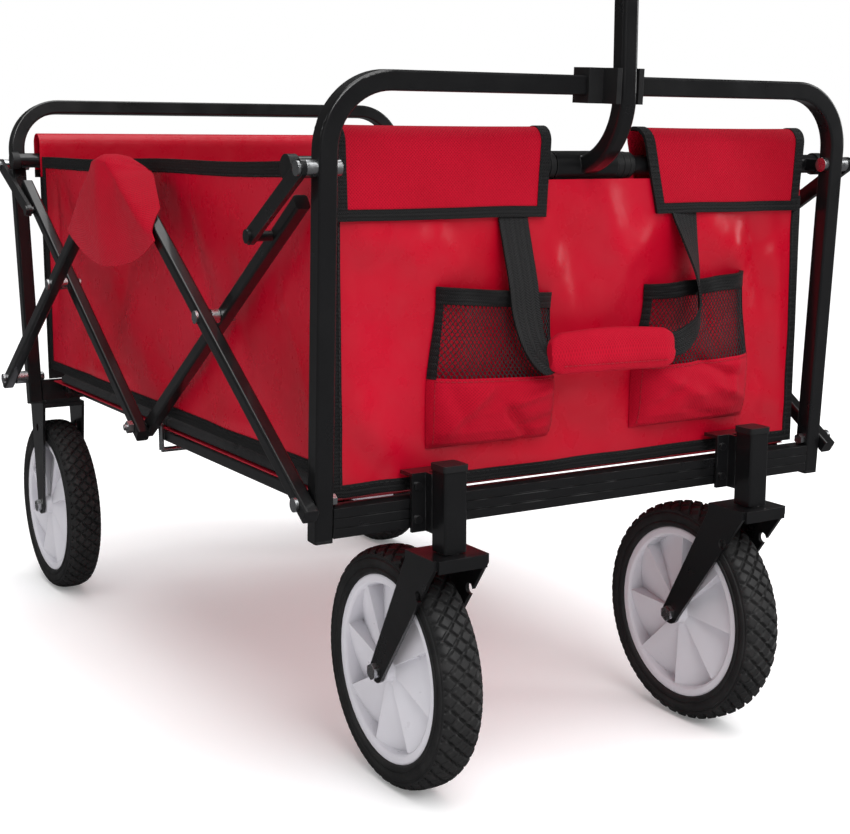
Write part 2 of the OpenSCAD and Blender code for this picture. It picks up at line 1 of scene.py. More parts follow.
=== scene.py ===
import math
import bpy
import numpy as np
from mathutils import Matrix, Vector, noise


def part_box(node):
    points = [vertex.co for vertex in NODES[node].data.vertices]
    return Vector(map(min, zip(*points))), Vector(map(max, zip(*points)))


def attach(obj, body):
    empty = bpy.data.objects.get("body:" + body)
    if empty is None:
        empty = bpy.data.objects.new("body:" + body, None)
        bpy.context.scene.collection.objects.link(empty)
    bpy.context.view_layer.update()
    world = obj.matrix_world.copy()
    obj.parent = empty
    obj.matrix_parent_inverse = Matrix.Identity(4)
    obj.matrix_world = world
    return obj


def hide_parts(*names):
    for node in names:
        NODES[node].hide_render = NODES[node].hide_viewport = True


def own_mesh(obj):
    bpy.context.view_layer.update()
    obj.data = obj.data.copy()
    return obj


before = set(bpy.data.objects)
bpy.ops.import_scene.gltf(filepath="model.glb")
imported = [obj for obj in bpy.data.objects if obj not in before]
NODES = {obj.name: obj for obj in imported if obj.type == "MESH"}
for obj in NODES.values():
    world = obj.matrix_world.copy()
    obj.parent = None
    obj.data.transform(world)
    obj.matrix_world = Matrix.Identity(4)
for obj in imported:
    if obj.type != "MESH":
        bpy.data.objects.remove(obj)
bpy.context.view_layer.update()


# Shapes are worked out in millimetres, with y measured back from the front posts' plane (Y0, in metres).
# put_mesh() turns them into metres and moves them back into the CAD's frame.
POST_TO_PANEL = 0.008
Y0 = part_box("front_panel")[0].y - POST_TO_PANEL
scene = bpy.context.scene

# Threads and tapes, in millimetres.
THREAD_R = 0.42
FINE_THREAD_R = 0.35
NET_THREAD_R = 0.47
PANEL_TAPE_W = 9.0
PANEL_HEM_W = 9.5
FLAP_TAPE_W = 8.5
SIDE_TAPE_TOP = 11.0
SIDE_TAPE_BOTTOM = 9.0
POCKET_ELASTIC_W = 13.0
STRAP_W = 27.0


def mm(v):
    return v * 1000.0


def span(node):
    """A CAD node's box at rest, in this script's millimetres."""
    lo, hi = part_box(node)
    return ((mm(lo.x), mm(lo.y - Y0), mm(lo.z)), (mm(hi.x), mm(hi.y - Y0), mm(hi.z)))


def nz(x, y, z, size, seed=0.0):
    """Smooth noise about zero, with lumps of the given size."""
    return noise.noise(Vector((x / size + seed, y / size - seed * 0.7, z / size + seed * 1.3)))


def ease(a, b, x):
    """0 at a, 1 at b, smooth between; b may be below a."""
    t = min(1.0, max(0.0, (x - a) / (b - a)))
    return t * t * (3 - 2 * t)


# ---------------- materials
class Mat:
    """A material's node tree, with short calls for the nodes used here. Lengths are in metres."""

    def __init__(self, name):
        self.m = bpy.data.materials.new(name)
        self.m.use_nodes = True
        self.nt = self.m.node_tree
        self.nt.nodes.clear()
        self.out = self.add("ShaderNodeOutputMaterial")
        self.p = self.add("ShaderNodeBsdfPrincipled")
        self.link(self.p.outputs[0], self.out.inputs[0])

    def add(self, kind, **kw):
        n = self.nt.nodes.new(kind)
        for k, v in kw.items():
            setattr(n, k, v)
        return n

    def link(self, a, b):
        self.nt.links.new(a, b)

    def put(self, sock, v):
        if hasattr(v, "is_output"):
            self.link(v, sock)
        else:
            sock.default_value = v

    def math(self, op, a, b=0.0, c=None):
        n = self.add("ShaderNodeMath", operation=op)
        self.put(n.inputs[0], a)
        self.put(n.inputs[1], b)
        if c is not None:
            self.put(n.inputs[2], c)
        return n.outputs[0]

    def to(self, name, v):
        self.link(v, self.p.inputs[name])

    def set(self, **kw):
        for k, v in kw.items():
            self.p.inputs[k.replace("_", " ")].default_value = v

    def obj(self):
        return self.add("ShaderNodeTexCoord").outputs["Object"]

    def uv(self):
        return self.add("ShaderNodeTexCoord").outputs["UV"]

    def noise(self, vec, scale, detail=3.0, rough=0.55, stretch=None):
        if stretch:
            mp = self.add("ShaderNodeMapping")
            self.link(vec, mp.inputs[0])
            mp.inputs["Scale"].default_value = stretch
            vec = mp.outputs[0]
        n = self.add("ShaderNodeTexNoise")
        self.link(vec, n.inputs["Vector"])
        n.inputs["Scale"].default_value = scale
        n.inputs["Detail"].default_value = detail
        n.inputs["Roughness"].default_value = rough
        return n.outputs[0]

    def ramp(self, fac, stops):
        n = self.add("ShaderNodeValToRGB")
        self.link(fac, n.inputs[0])
        e = n.color_ramp.elements
        while len(e) < len(stops):
            e.new(0.5)
        for el, (pos, col) in zip(e, stops):
            el.position = pos
            el.color = (col, col, col, 1) if isinstance(col, float) else (*col, 1)
        return n.outputs[0]

    def mix(self, fac, a, b):
        n = self.add("ShaderNodeMix", data_type="RGBA", blend_type="MIX")
        self.put(n.inputs[0], fac)
        for s, v in ((n.inputs[6], a), (n.inputs[7], b)):
            self.put(s, (*v, 1) if isinstance(v, tuple) and len(v) == 3 else v)
        return n.outputs[2]

    def bump(self, height, strength, dist, normal=None):
        n = self.add("ShaderNodeBump")
        n.inputs["Strength"].default_value = strength
        n.inputs["Distance"].default_value = dist
        self.link(height, n.inputs["Height"])
        if normal is not None:
            self.link(normal, n.inputs["Normal"])
        return n.outputs[0]

    def edge(self, radius):
        """Rounded normal and a mask that is 1 on edges."""
        bv = self.add("ShaderNodeBevel", samples=4)
        bv.inputs["Radius"].default_value = radius
        geo = self.add("ShaderNodeNewGeometry")
        d = self.add("ShaderNodeVectorMath", operation="DOT_PRODUCT")
        self.link(bv.outputs[0], d.inputs[0])
        self.link(geo.outputs["Normal"], d.inputs[1])
        mask = self.math("SUBTRACT", 1.0, d.outputs["Value"])
        return bv.outputs[0], mask

    def split(self, vec):
        n = self.add("ShaderNodeSeparateXYZ")
        self.link(vec, n.inputs[0])
        return n.outputs[0], n.outputs[1], n.outputs[2]


def powder(name, base, rough=0.32, spec=0.35, grain=1100.0, wear=0.09):
    """Glossy powder coat, rubbed paler along its edges."""
    k = Mat(name)
    o = k.obj()
    nrm, mask = k.edge(0.0007)
    patch = k.noise(o, 60.0, 4.0)
    worn = k.math("MULTIPLY", k.ramp(mask, [(0.02, 0.0), (0.22, 1.0)]),
                  k.ramp(patch, [(0.46, 0.0), (0.66, 1.0)]))
    tint = k.mix(k.noise(o, 14.0, 2.0), tuple(c * 0.75 for c in base), tuple(c * 1.35 for c in base))
    k.to("Base Color", k.mix(worn, tint, (wear, wear, wear * 1.02)))
    k.to("Roughness", k.ramp(k.noise(o, 35.0, 4.0), [(0.3, rough - 0.06), (0.7, rough + 0.08)]))
    k.to("Normal", k.bump(k.noise(o, grain, 2.0), 0.10, 0.0004, nrm))
    k.set(Specular_IOR_Level=spec, Coat_Weight=0.6, Coat_Roughness=0.09)
    return k.m


def metal(name):
    """Zinc-plated steel with a cloudy brushed finish."""
    k = Mat(name)
    o = k.obj()
    nrm, _ = k.edge(0.0005)
    n = k.noise(o, 420.0, 3.0)
    k.to("Base Color", k.mix(n, (0.46, 0.47, 0.48), (0.78, 0.79, 0.80)))
    k.to("Roughness", k.ramp(k.noise(o, 160.0, 3.0), [(0.3, 0.20), (0.75, 0.42)]))
    k.to("Normal", k.bump(n, 0.12, 0.0003, nrm))
    k.set(Metallic=1.0)
    return k.m


def weave_height(k, uv, pitch):
    """Height of a plain weave, 0 in the gaps and 1 on the threads."""
    u, v, _ = k.split(uv)
    a = k.math("SINE", k.math("MULTIPLY", u, math.pi / pitch))
    b = k.math("SINE", k.math("MULTIPLY", v, math.pi / pitch))
    return k.math("MULTIPLY_ADD", k.math("MULTIPLY", a, b), 0.5, 0.5)


def coated(name, dark, light, rough, pitch=0.0008):
    """Shiny coated polyester: fine plain weave under a film, with soft rumples that catch the light."""
    k = Mat(name)
    uv = k.uv()
    o = k.obj()
    wv = weave_height(k, uv, pitch)
    big = k.noise(o, 7.0, 3.0, 0.5)
    mid = k.noise(o, 26.0, 3.0, 0.6)
    col = k.mix(k.ramp(big, [(0.35, 0.0), (0.65, 1.0)]), dark, light)
    col = k.mix(k.math("MULTIPLY", wv, 0.16), col, tuple(c * 0.55 for c in dark))
    k.to("Base Color", col)
    gloss = k.ramp(k.noise(o, 48.0, 4.0), [(0.25, rough - 0.05), (0.75, rough + 0.08)])
    k.to("Roughness", gloss)
    soft = k.bump(k.math("ADD", k.math("MULTIPLY", big, 0.6), k.math("MULTIPLY", mid, 0.30)), 0.40, 0.008)
    k.to("Normal", k.bump(wv, 0.16, 0.00025, soft))
    k.set(Specular_IOR_Level=0.30, Coat_Weight=0.03, Coat_Roughness=0.24)
    return k.m


def woven(name, dark, light, pitch=0.0013, rough=0.62, sheen=0.02, depth=0.0004):
    """Matt woven cloth: the weave shows as small grains, with painted shade darkening the gaps between them."""
    k = Mat(name)
    uv = k.uv()
    o = k.obj()
    wv = weave_height(k, uv, pitch)
    big = k.noise(o, 9.0, 3.0)
    slub = k.noise(uv, 900.0, 2.0, stretch=(1.0, 0.15, 1.0))
    col = k.mix(k.ramp(big, [(0.3, 0.0), (0.7, 1.0)]), dark, light)
    # Painted shade: in the weave's gaps the colour is pulled towards 0.35 of the dark tone.
    col = k.mix(k.ramp(wv, [(0.0, 0.55), (0.55, 0.0)]), col, tuple(c * 0.35 for c in dark))
    col = k.mix(k.math("MULTIPLY", slub, 0.16), col, tuple(min(1.0, c * 1.4 + 0.012) for c in light))
    k.to("Base Color", col)
    k.to("Roughness", k.ramp(slub, [(0.2, rough - 0.08), (0.8, rough + 0.1)]))
    soft = k.bump(k.noise(o, 22.0, 3.0), 0.35, 0.006)
    k.to("Normal", k.bump(wv, 0.7, depth, soft))
    k.set(Specular_IOR_Level=0.06, Sheen_Weight=sheen, Sheen_Roughness=0.45)
    return k.m


def ribbed(name, base, pitch=0.0022, row=0.0042, rough=0.62):
    """Black webbing or binding tape: chevron rows of small ribs, with painted shade in the grooves and painted
    light on the rib tops.
    """
    k = Mat(name)
    u, v, _ = k.split(k.uv())
    zig = k.math("PINGPONG", v, row)
    slanted = k.math("ADD", u, k.math("MULTIPLY", zig, 0.8))
    h = k.math("SINE", k.math("MULTIPLY", slanted, 2 * math.pi / pitch))
    h = k.math("MULTIPLY_ADD", h, 0.5, 0.5)
    lane = k.math("SINE", k.math("MULTIPLY", v, math.pi / row))
    h2 = k.math("ADD", k.math("MULTIPLY", h, 0.7), k.math("MULTIPLY", k.math("ABSOLUTE", lane), 0.5))
    fuzz = k.noise(k.obj(), 700.0, 3.0)
    # Painted shade and light: the colour runs from half the base in the grooves to 1.7 times it on the rib
    # tops.
    col = k.mix(k.math("MULTIPLY", h2, 0.75), tuple(c * 0.5 for c in base), tuple(c * 1.7 for c in base))
    k.to("Base Color", col)
    k.to("Roughness", k.ramp(fuzz, [(0.2, rough - 0.1), (0.8, rough + 0.12)]))
    k.to("Normal", k.bump(h2, 0.8, 0.0006))
    k.set(Specular_IOR_Level=0.22, Sheen_Weight=0.02, Sheen_Roughness=0.4)
    return k.m


def moulded(name, base, rough=0.5, spec=0.35, grain=900.0, amp=0.2, var=0.2):
    """Moulded plastic or rubber, or thread: a fine grain, and paler edges."""
    k = Mat(name)
    o = k.obj()
    nrm, mask = k.edge(0.0006)
    n = k.noise(o, 18.0, 3.0)
    col = k.mix(n, tuple(c * (1 - var) for c in base), tuple(min(1.0, c * (1 + var)) for c in base))
    rubbed = k.math("MULTIPLY", k.ramp(mask, [(0.02, 0.0), (0.3, 1.0)]), 0.35)
    col = k.mix(rubbed, col, tuple(min(1.0, c * 1.6 + 0.02) for c in base))
    k.to("Base Color", col)
    k.to("Roughness", k.ramp(k.noise(o, 70.0, 4.0), [(0.3, rough - 0.07), (0.7, rough + 0.08)]))
    k.to("Normal", k.bump(k.noise(o, grain, 3.0), amp, 0.0004, nrm))
    k.set(Specular_IOR_Level=spec)
    return k.m


def rubber_mat(name):
    """Tyre rubber with dust in patches."""
    k = Mat(name)
    o = k.obj()
    dust = k.ramp(k.noise(o, 30.0, 5.0), [(0.42, 0.0), (0.75, 1.0)])
    col = k.mix(k.math("MULTIPLY", dust, 0.35), (0.012, 0.012, 0.0125), (0.040, 0.038, 0.037))
    k.to("Base Color", col)
    k.to("Roughness", k.ramp(k.noise(o, 90.0, 4.0), [(0.3, 0.48), (0.7, 0.66)]))
    k.to("Normal", k.bump(k.noise(o, 1300.0, 3.0), 0.25, 0.0003))
    k.set(Specular_IOR_Level=0.4)
    return k.m


STEEL = powder("frame_steel", (0.0045, 0.0045, 0.005))
PLASTIC = moulded("black_plastic", (0.010, 0.010, 0.0105), 0.42)
GRIPMAT = moulded("grip_rubber", (0.014, 0.014, 0.014), 0.68, 0.3, 500.0, 0.5)
ZINC = metal("zinc_steel")
RED = coated("red_coated_cloth", (0.385, 0.0006, 0.012), (0.43, 0.0014, 0.017), 0.28)
REDIN = coated("red_cloth_back", (0.33, 0.001, 0.013), (0.40, 0.002, 0.018), 0.55)
REDW = woven("red_woven_cloth", (0.30, 0.0003, 0.010), (0.39, 0.001, 0.016))
WEB = ribbed("black_webbing", (0.0085, 0.0085, 0.009))
BIND = ribbed("binding_tape", (0.0065, 0.0065, 0.007), 0.0016, 0.0026)
NET = moulded("net_thread", (0.010, 0.008, 0.010), 0.6)
THREAD = moulded("stitch_thread", (0.018, 0.017, 0.018), 0.6)
REDTHREAD = moulded("red_thread", (0.30, 0.002, 0.012), 0.6)
MATM = woven("black_mat", (0.012, 0.012, 0.013), (0.022, 0.022, 0.023), 0.0016, 0.75, 0.05)
TYRE = rubber_mat("tyre")
GREY = moulded("grey_plastic", (0.58, 0.57, 0.61), 0.34, 0.45, 260.0, 0.04, 0.05)

# The CAD nodes that show as they are, each with its material.
CARRIED = {
    STEEL: ["front_frame", "front_rail", "front_cross_tube", "stem_sockets", "handle_tube",
            "handle_inner_tube", "caster_fork_left", "caster_fork_right", "rear_frame", "rear_rail",
            "rear_cross_tube", "rear_forks", "scissor_front_outer", "scissor_front_inner",
            "scissor_rear_inner", "scissor_rear_outer", "front_links", "rear_links", "lower_rails_front",
            "lower_rails_rear"],
    PLASTIC: ["front_end_caps", "rear_end_caps", "handle_clip", "handle_collar", "handle_button",
              "handle_grip"],
    ZINC: ["front_pivot_bolts", "rear_pivot_bolts", "rivets_front", "rivets_rear", "caster_axle_left",
           "caster_axle_right", "rear_axles", "centre_rod"],
    GRIPMAT: ["grip_sleeve"],
}
for material, names in CARRIED.items():
    for n in names:
        o = NODES[n]
        if not o.material_slots:
            o.data.materials.append(material)
        for s in o.material_slots:
            s.material = material


# ---------------- mesh helpers
def put_mesh(name, verts, faces, mat, uvs=None, sharp=50):
    """A smooth mesh object in the CAD's frame, with edges over `sharp` degrees kept crisp."""
    me = bpy.data.meshes.new(name)
    v = np.asarray(verts, float) * 0.001
    v[:, 1] += Y0
    me.from_pydata(v.tolist(), [], [tuple(int(i) for i in f) for f in faces])
    if uvs is not None:
        layer = me.uv_layers.new(name="UVMap")
        idx = np.empty(len(me.loops), np.int32)
        me.loops.foreach_get("vertex_index", idx)
        layer.data.foreach_set("uv", (np.asarray(uvs, float)[idx]).astype(np.float32).ravel())
    me.polygons.foreach_set("use_smooth", [True] * len(me.polygons))
    me.validate()
    me.set_sharp_from_angle(angle=math.radians(sharp))
    me.materials.append(mat)
    ob = bpy.data.objects.new(name, me)
    scene.collection.objects.link(ob)
    return ob


def surface(fn, nu, nv, u0=0.0, u1=1.0, v0=0.0, v1=1.0):
    """A grid of points on fn(u, v), over the given part of it."""
    us = np.linspace(u0, u1, nu)
    vs = np.linspace(v0, v1, nv)
    return np.array([[fn(u, v) for v in vs] for u in us], float)


def normals(P):
    du = np.gradient(P, axis=0)
    dv = np.gradient(P, axis=1)
    n = np.cross(du, dv)
    return n / np.maximum(np.linalg.norm(n, axis=2, keepdims=True), 1e-9)


def lengths(P):
    """A grid's mean lengths along u and along v, in metres."""
    a = np.linalg.norm(np.diff(P, axis=0), axis=2).sum(0).mean()
    b = np.linalg.norm(np.diff(P, axis=1), axis=2).sum(1).mean()
    return a * 0.001, b * 0.001


def slab_faces(nu, nv):
    """Faces of a closed slab: a grid, the same grid below it, and the wall between their edges."""
    n = nu * nv
    idx = np.arange(n).reshape(nu, nv)
    q = np.stack([idx[:-1, :-1], idx[1:, :-1], idx[1:, 1:], idx[:-1, 1:]], axis=-1).reshape(-1, 4)
    rim = np.array(list(idx[:, 0]) + list(idx[-1, 1:]) + list(idx[-2::-1, -1]) + list(idx[0, -2:0:-1]))
    nxt = np.roll(rim, -1)
    return np.concatenate([q, q[:, ::-1] + n, np.stack([nxt, rim, rim + n, nxt + n], axis=-1)])


def shell(name, P, mat, thick, sharp=50):
    """Closed cloth shell about a grid of points, with its weave coordinates in metres."""
    nu, nv = P.shape[:2]
    N = normals(P)
    A = P + N * (thick / 2)
    B = P - N * (thick / 2)
    a_len = np.concatenate([[0], np.cumsum(np.linalg.norm(np.diff(P, axis=0), axis=2).mean(1))]) * 0.001
    b_len = np.concatenate([[0], np.cumsum(np.linalg.norm(np.diff(P, axis=1), axis=2).mean(0))]) * 0.001
    uv = np.stack(np.meshgrid(a_len, b_len, indexing="ij"), axis=-1).reshape(-1, 2)
    verts = np.concatenate([A.reshape(-1, 3), B.reshape(-1, 3)])
    return put_mesh(name, verts, slab_faces(nu, nv), mat, np.concatenate([uv, uv]), sharp)


def join_arrays(parts):
    """Several (vertices, faces, uvs) as one."""
    vs, fs, uvs, n = [], [], [], 0
    for v, f, u in parts:
        vs.append(v)
        uvs.append(u)
        fs.extend([tuple(i + n for i in face) for face in f])
        n += len(v)
    return np.concatenate(vs), fs, np.concatenate(uvs)


def sweep(path, sides, radius):
    """A tube of `sides` sides along a list of points."""
    P = np.asarray(path, float)
    T = np.gradient(P, axis=0)
    T /= np.maximum(np.linalg.norm(T, axis=1, keepdims=True), 1e-9)
    ref = np.array([0.0, -1.0, 0.0]) if abs(T[0][1]) < 0.8 else np.array([1.0, 0.0, 0.0])
    vs = []
    for i in range(len(P)):
        a = ref - T[i] * np.dot(ref, T[i])
        a /= np.linalg.norm(a)
        ref = a
        b = np.cross(T[i], a)
        for s in range(sides):
            t = 2 * math.pi * (s + 0.5) / sides
            vs.append(P[i] + radius * (math.cos(t) * a + math.sin(t) * b))
    fs = []
    for i in range(len(P) - 1):
        for s in range(sides):
            s2 = (s + 1) % sides
            fs.append((i * sides + s, i * sides + s2, (i + 1) * sides + s2, (i + 1) * sides + s))
    fs.append(tuple(range(sides - 1, -1, -1)))
    fs.append(tuple((len(P) - 1) * sides + s for s in range(sides)))
    run = np.concatenate([[0], np.cumsum(np.linalg.norm(np.diff(P, axis=0), axis=1))]) * 0.001
    uv = np.array([[run[i], s * radius * 0.002] for i in range(len(P)) for s in range(sides)])
    return np.array(vs), fs, uv


def threads(name, paths, radius, mat, sides=4):
    """All the threads along some paths, as one object."""
    parts = [sweep(p, sides, radius) for p in paths if len(p) > 1]
    v, f, u = join_arrays(parts)
    return put_mesh(name, v, f, mat, u, 70)


def dashes(points, length=3.2, gap=1.3):
    """Cuts a fine path into stitches."""
    P = np.asarray(points, float)
    run = np.concatenate([[0], np.cumsum(np.linalg.norm(np.diff(P, axis=0), axis=1))])
    out, s = [], gap
    while s + length < run[-1]:
        ts = [s, s + length * 0.15, s + length * 0.5, s + length * 0.85, s + length]
        out.append(np.array([[np.interp(t, run, P[:, c]) for c in range(3)] for t in ts]))
        s += length + gap
    return out


def stitch_row(fn, uv_pairs, lift, samples=120):
    """Stitches along straight runs in a surface's own coordinates, lifted off it."""
    rows = []
    for (u0, v0), (u1, v1) in uv_pairs:
        pts = []
        for i in range(samples):
            t = i / (samples - 1)
            u, v = u0 + (u1 - u0) * t, v0 + (v1 - v0) * t
            e = 1e-3
            p = np.array(fn(u, v))
            a = np.array(fn(u + e, v)) - np.array(fn(u - e, v))
            b = np.array(fn(u, v + e)) - np.array(fn(u, v - e))
            n = np.cross(a, b)
            n /= max(np.linalg.norm(n), 1e-9)
            pts.append(p + n * lift)
        rows += dashes(pts)
    return rows


def settle(objs, body, squash=None):
    """The objects ride on a body; when squash (the joint, axis, anchor and share kept of cloth that flattens)
    is given, each object only gets its own copy of its mesh.
    """
    for o in objs:
        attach(o, body)
        if squash:
            joint, axis, anchor, keep = squash
            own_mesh(o)
            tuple(axis)
            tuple(anchor)


# ---------------- camera, floor and light
CAMERA_AT = (-0.7361, -1.3728, 0.5133)
CAMERA_YAW, CAMERA_PITCH = 30.71, -10.03
CAMERA_LENS = 63.917
FLOOR_R = 60
FLOOR_SIDES = 64

cam = bpy.data.cameras.new("camera")
cam.lens = CAMERA_LENS
cam.sensor_width = 36.0
cam.clip_end = 200.0
camera = bpy.data.objects.new("camera", cam)
camera.location = CAMERA_AT
yaw, pitch = math.radians(CAMERA_YAW), math.radians(CAMERA_PITCH)
look = Vector((math.sin(yaw) * math.cos(pitch), math.cos(yaw) * math.cos(pitch), math.sin(pitch)))
camera.rotation_mode = "QUATERNION"
camera.rotation_quaternion = look.to_track_quat("-Z", "Y")
scene.collection.objects.link(camera)
scene.camera = camera

# The floor is pale, but reflections see it dim, as in a studio with black flags round the object.
fm = Mat("floor")
pale = fm.mix(fm.noise(fm.obj(), 3.0, 2.0), (0.94, 0.935, 0.94), (0.96, 0.955, 0.96))
fm.link(pale, fm.p.inputs["Base Color"])
fm.set(Roughness=0.6, Specular_IOR_Level=0.1)
fm.set(Emission_Color=(1.0, 1.0, 1.0, 1.0), Emission_Strength=0.14)
dim = fm.add("ShaderNodeBsdfDiffuse")
dim.inputs["Color"].default_value = (0.07, 0.07, 0.072, 1)
fm_mix = fm.add("ShaderNodeMixShader")
fm.link(fm.add("ShaderNodeLightPath").outputs["Is Glossy Ray"], fm_mix.inputs[0])
fm.link(fm.p.outputs[0], fm_mix.inputs[1])
fm.link(dim.outputs[0], fm_mix.inputs[2])
fm.link(fm_mix.outputs[0], fm.out.inputs[0])
turns = [2 * math.pi * i / FLOOR_SIDES for i in range(FLOOR_SIDES)]
me = bpy.data.meshes.new("floor")
rim = [(FLOOR_R * math.cos(t), FLOOR_R * math.sin(t), 0) for t in turns]
me.from_pydata(rim, [], [tuple(range(FLOOR_SIDES))])
me.materials.append(fm.m)
floor = bpy.data.objects.new("floor", me)
scene.collection.objects.link(floor)

world = bpy.data.worlds.new("studio")
scene.world = world
world.use_nodes = True
wn = world.node_tree


def white_sky(node, strength):
    node.inputs[0].default_value = (1.0, 1.0, 1.0, 1)
    node.inputs[1].default_value = strength
    return node.outputs[0]


def choose(fac, first, second):
    n = wn.nodes.new("ShaderNodeMixShader")
    for sock, out in zip(n.inputs, (fac, first, second)):
        wn.links.new(out, sock)
    return n.outputs[0]


# White behind the object, a soft fill for its surfaces, and almost nothing in its reflections.
eye = wn.nodes.new("ShaderNodeLightPath")
fill = white_sky(wn.nodes["Background"], 0.56)
gloss = white_sky(wn.nodes.new("ShaderNodeBackground"), 0.05)
sky = white_sky(wn.nodes.new("ShaderNodeBackground"), 1.0)
unseen = choose(eye.outputs["Is Glossy Ray"], fill, gloss)
seen = choose(eye.outputs["Is Camera Ray"], unseen, sky)
wn.links.new(seen, wn.nodes["World Output"].inputs[0])
sun = bpy.data.lights.new("sun", "SUN")
sun.energy = 1.8
sun.angle = math.radians(50)
so = bpy.data.objects.new("sun", sun)
so.rotation_mode = "QUATERNION"
so.rotation_quaternion = Vector((0.02, 0.50, -1.0)).to_track_quat("-Z", "Y")
scene.collection.objects.link(so)


def softbox(name, loc, target, size, power):
    """A rectangular area light, in metres and watts, aimed at a point."""
    l = bpy.data.lights.new(name, "AREA")
    l.shape = "RECTANGLE"
    l.size, l.size_y = size
    l.energy = power
    o = bpy.data.objects.new(name, l)
    o.location = loc
    o.rotation_mode = "QUATERNION"
    o.rotation_quaternion = (Vector(target) - Vector(loc)).to_track_quat("-Z", "Y")
    scene.collection.objects.link(o)


softbox("key", (-0.4, -3.0, 1.9), (0, 0, 0.35), (1.6, 0.8), 30.0)
softbox("side", (-3.0, 0.4, 1.7), (0, 0, 0.3), (0.7, 1.4), 7.0)
softbox("fill", (2.8, -1.4, 1.4), (0, 0, 0.3), (0.8, 1.8), 24.0)
softbox("top", (0.2, 0.8, 3.2), (0, 0, 0.3), (2.2, 2.2), 30.0)
scene.view_settings.view_transform = "Standard"
scene.view_settings.look = "None"

# ---------------- wheels
def half_size(node, axis):
    lo, hi = span(node)
    return 0.5 * (hi[axis] - lo[axis])


R = half_size("tyre_front_left", 2)
HUB_R = half_size("hub_front_left", 2)
HALF_W = half_size("tyre_front_left", 0)
TREAD_BLOCKS = 46
STEPS_PER_BLOCK = 16
TREAD_DEPTH = 2.3
CROWN_STEPS = 44
CROWN_DROP = 3.9
# Sidewall, hub to shoulder: height over the hub's rim, and distance in from the tyre's widest.
SIDEWALL = [(-0.6, 3.4), (0.3, 1.4), (1.4, 0.4), (2.6, 0.05), (4.2, 0.1), (4.9, 0.9), (5.8, 1.0), (6.5, 0.4),
            (9.5, 0.15), (12.0, 0.35), (12.9, 1.3), (13.8, 1.4), (14.6, 0.9), (16.2, 1.3), (17.8, 2.3)]


def tyre_mesh():
    """Lathed tyre whose crown carries crossing diagonal grooves, with a stepped sidewall."""
    side = [(HUB_R + up, HALF_W - inset) for up, inset in SIDEWALL]
    shoulder = side[-1][1]
    crown = []
    for i in range(1, CROWN_STEPS):
        w = shoulder * (1 - 2 * i / CROWN_STEPS)
        crown.append((R - 0.25 - CROWN_DROP * abs(w / shoulder) ** 3.2, w))
    prof = np.array(side + crown + [(r, -w) for r, w in side[::-1]])
    steps = STEPS_PER_BLOCK * TREAD_BLOCKS
    period = 2 * math.pi * R / TREAD_BLOCKS
    th = np.arange(steps) * 2 * math.pi / steps
    s = th * R
    rr, ww = prof[:, 0][:, None], prof[:, 1][:, None]

    def groove(a):
        f = np.abs(((a / period) + 0.5) % 1.0 - 0.5) * period * 0.707
        return 1.0 - np.clip((f - 0.75) / 0.7, 0, 1)

    g = np.maximum(groove(s[None, :] + ww), groove(s[None, :] - ww))
    on_tread = np.clip((rr - (HUB_R + 16.0)) / 1.5, 0, 1)
    rad = rr - TREAD_DEPTH * g * on_tread
    X = np.repeat(ww, steps, axis=1)
    return np.stack([X, rad * np.cos(th)[None, :], rad * np.sin(th)[None, :]], axis=-1)


def lathe_faces(n, m):
    """Faces between n rings of m points."""
    idx = np.arange(n * m).reshape(n, m)
    nxt = np.roll(idx, -1, axis=1)
    return np.stack([idx[:-1], idx[1:], nxt[1:], nxt[:-1]], axis=-1).reshape(-1, 4)


TP = tyre_mesh()
rings, around = TP.shape[:2]
near = np.arange(around)
far = (rings - 1) * around + near
bore = np.stack([far, near, np.roll(near, -1), np.roll(far, -1)], axis=-1)
TF = np.concatenate([lathe_faces(rings, around)[:, ::-1], bore[:, ::-1]])

BLADES = 8
BLADE_STEPS = 7
BLADE_SHARE = 0.985
FLAT, BLADE = 0, 1
# Hub from its axle out to its rim: radius, kind, and half-width where it is flat.
HUB_RINGS = [(0.5, FLAT, 20.3), (8.0, FLAT, 20.3), (9.6, FLAT, 19.6), (10.2, FLAT, 18.4), (11.0, FLAT, 13.5),
             (12.0, BLADE, 0), (30.0, BLADE, 0), (50.0, BLADE, 0), (HUB_R - 9.0, BLADE, 0),
             (HUB_R - 8.4, FLAT, 14.0), (HUB_R - 7.4, FLAT, 15.6), (HUB_R - 6.2, FLAT, 16.2),
             (HUB_R - 2.0, FLAT, 16.2), (HUB_R - 0.8, FLAT, 15.8), (HUB_R - 0.1, FLAT, 15.0),
             (HUB_R - 0.1, FLAT, 14.0)]


def hub_mesh():
    """Moulded hub: rim lip, eight sloped blades each ending in a step, and a raised boss."""
    sector = 2 * math.pi / BLADES
    th, hi = [], []
    for b in range(BLADES):
        for j in range(BLADE_STEPS):
            f = j / (BLADE_STEPS - 1)
            th.append((b + BLADE_SHARE * f) * sector)
            hi.append(math.sin(BLADE_SHARE * f * sector) / math.sin(BLADE_SHARE * sector))
    th, hi = np.array(th), np.array(hi)
    top = []
    for r, kind, w in HUB_RINGS:
        if kind == BLADE:
            k = (r - 8.0) / (HUB_R - 17.0)
            ww = 13.2 + 0.8 * k - 14.0 * k * (1 - hi)
        else:
            ww = np.full(len(th), w)
        top.append(np.stack([ww, r * np.cos(th), r * np.sin(th)], axis=-1))
    top = np.array(top)
    bot = top[::-1].copy()
    bot[..., 0] *= -1
    return np.concatenate([top, bot])


HP = hub_mesh()
HF = lathe_faces(HP.shape[0], HP.shape[1])[:, ::-1]


def wheel_part(name, node, body, points, faces, mat, sharp):
    ob = put_mesh(name, points, faces, mat, None, sharp)
    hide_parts(node)
    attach(ob, body)


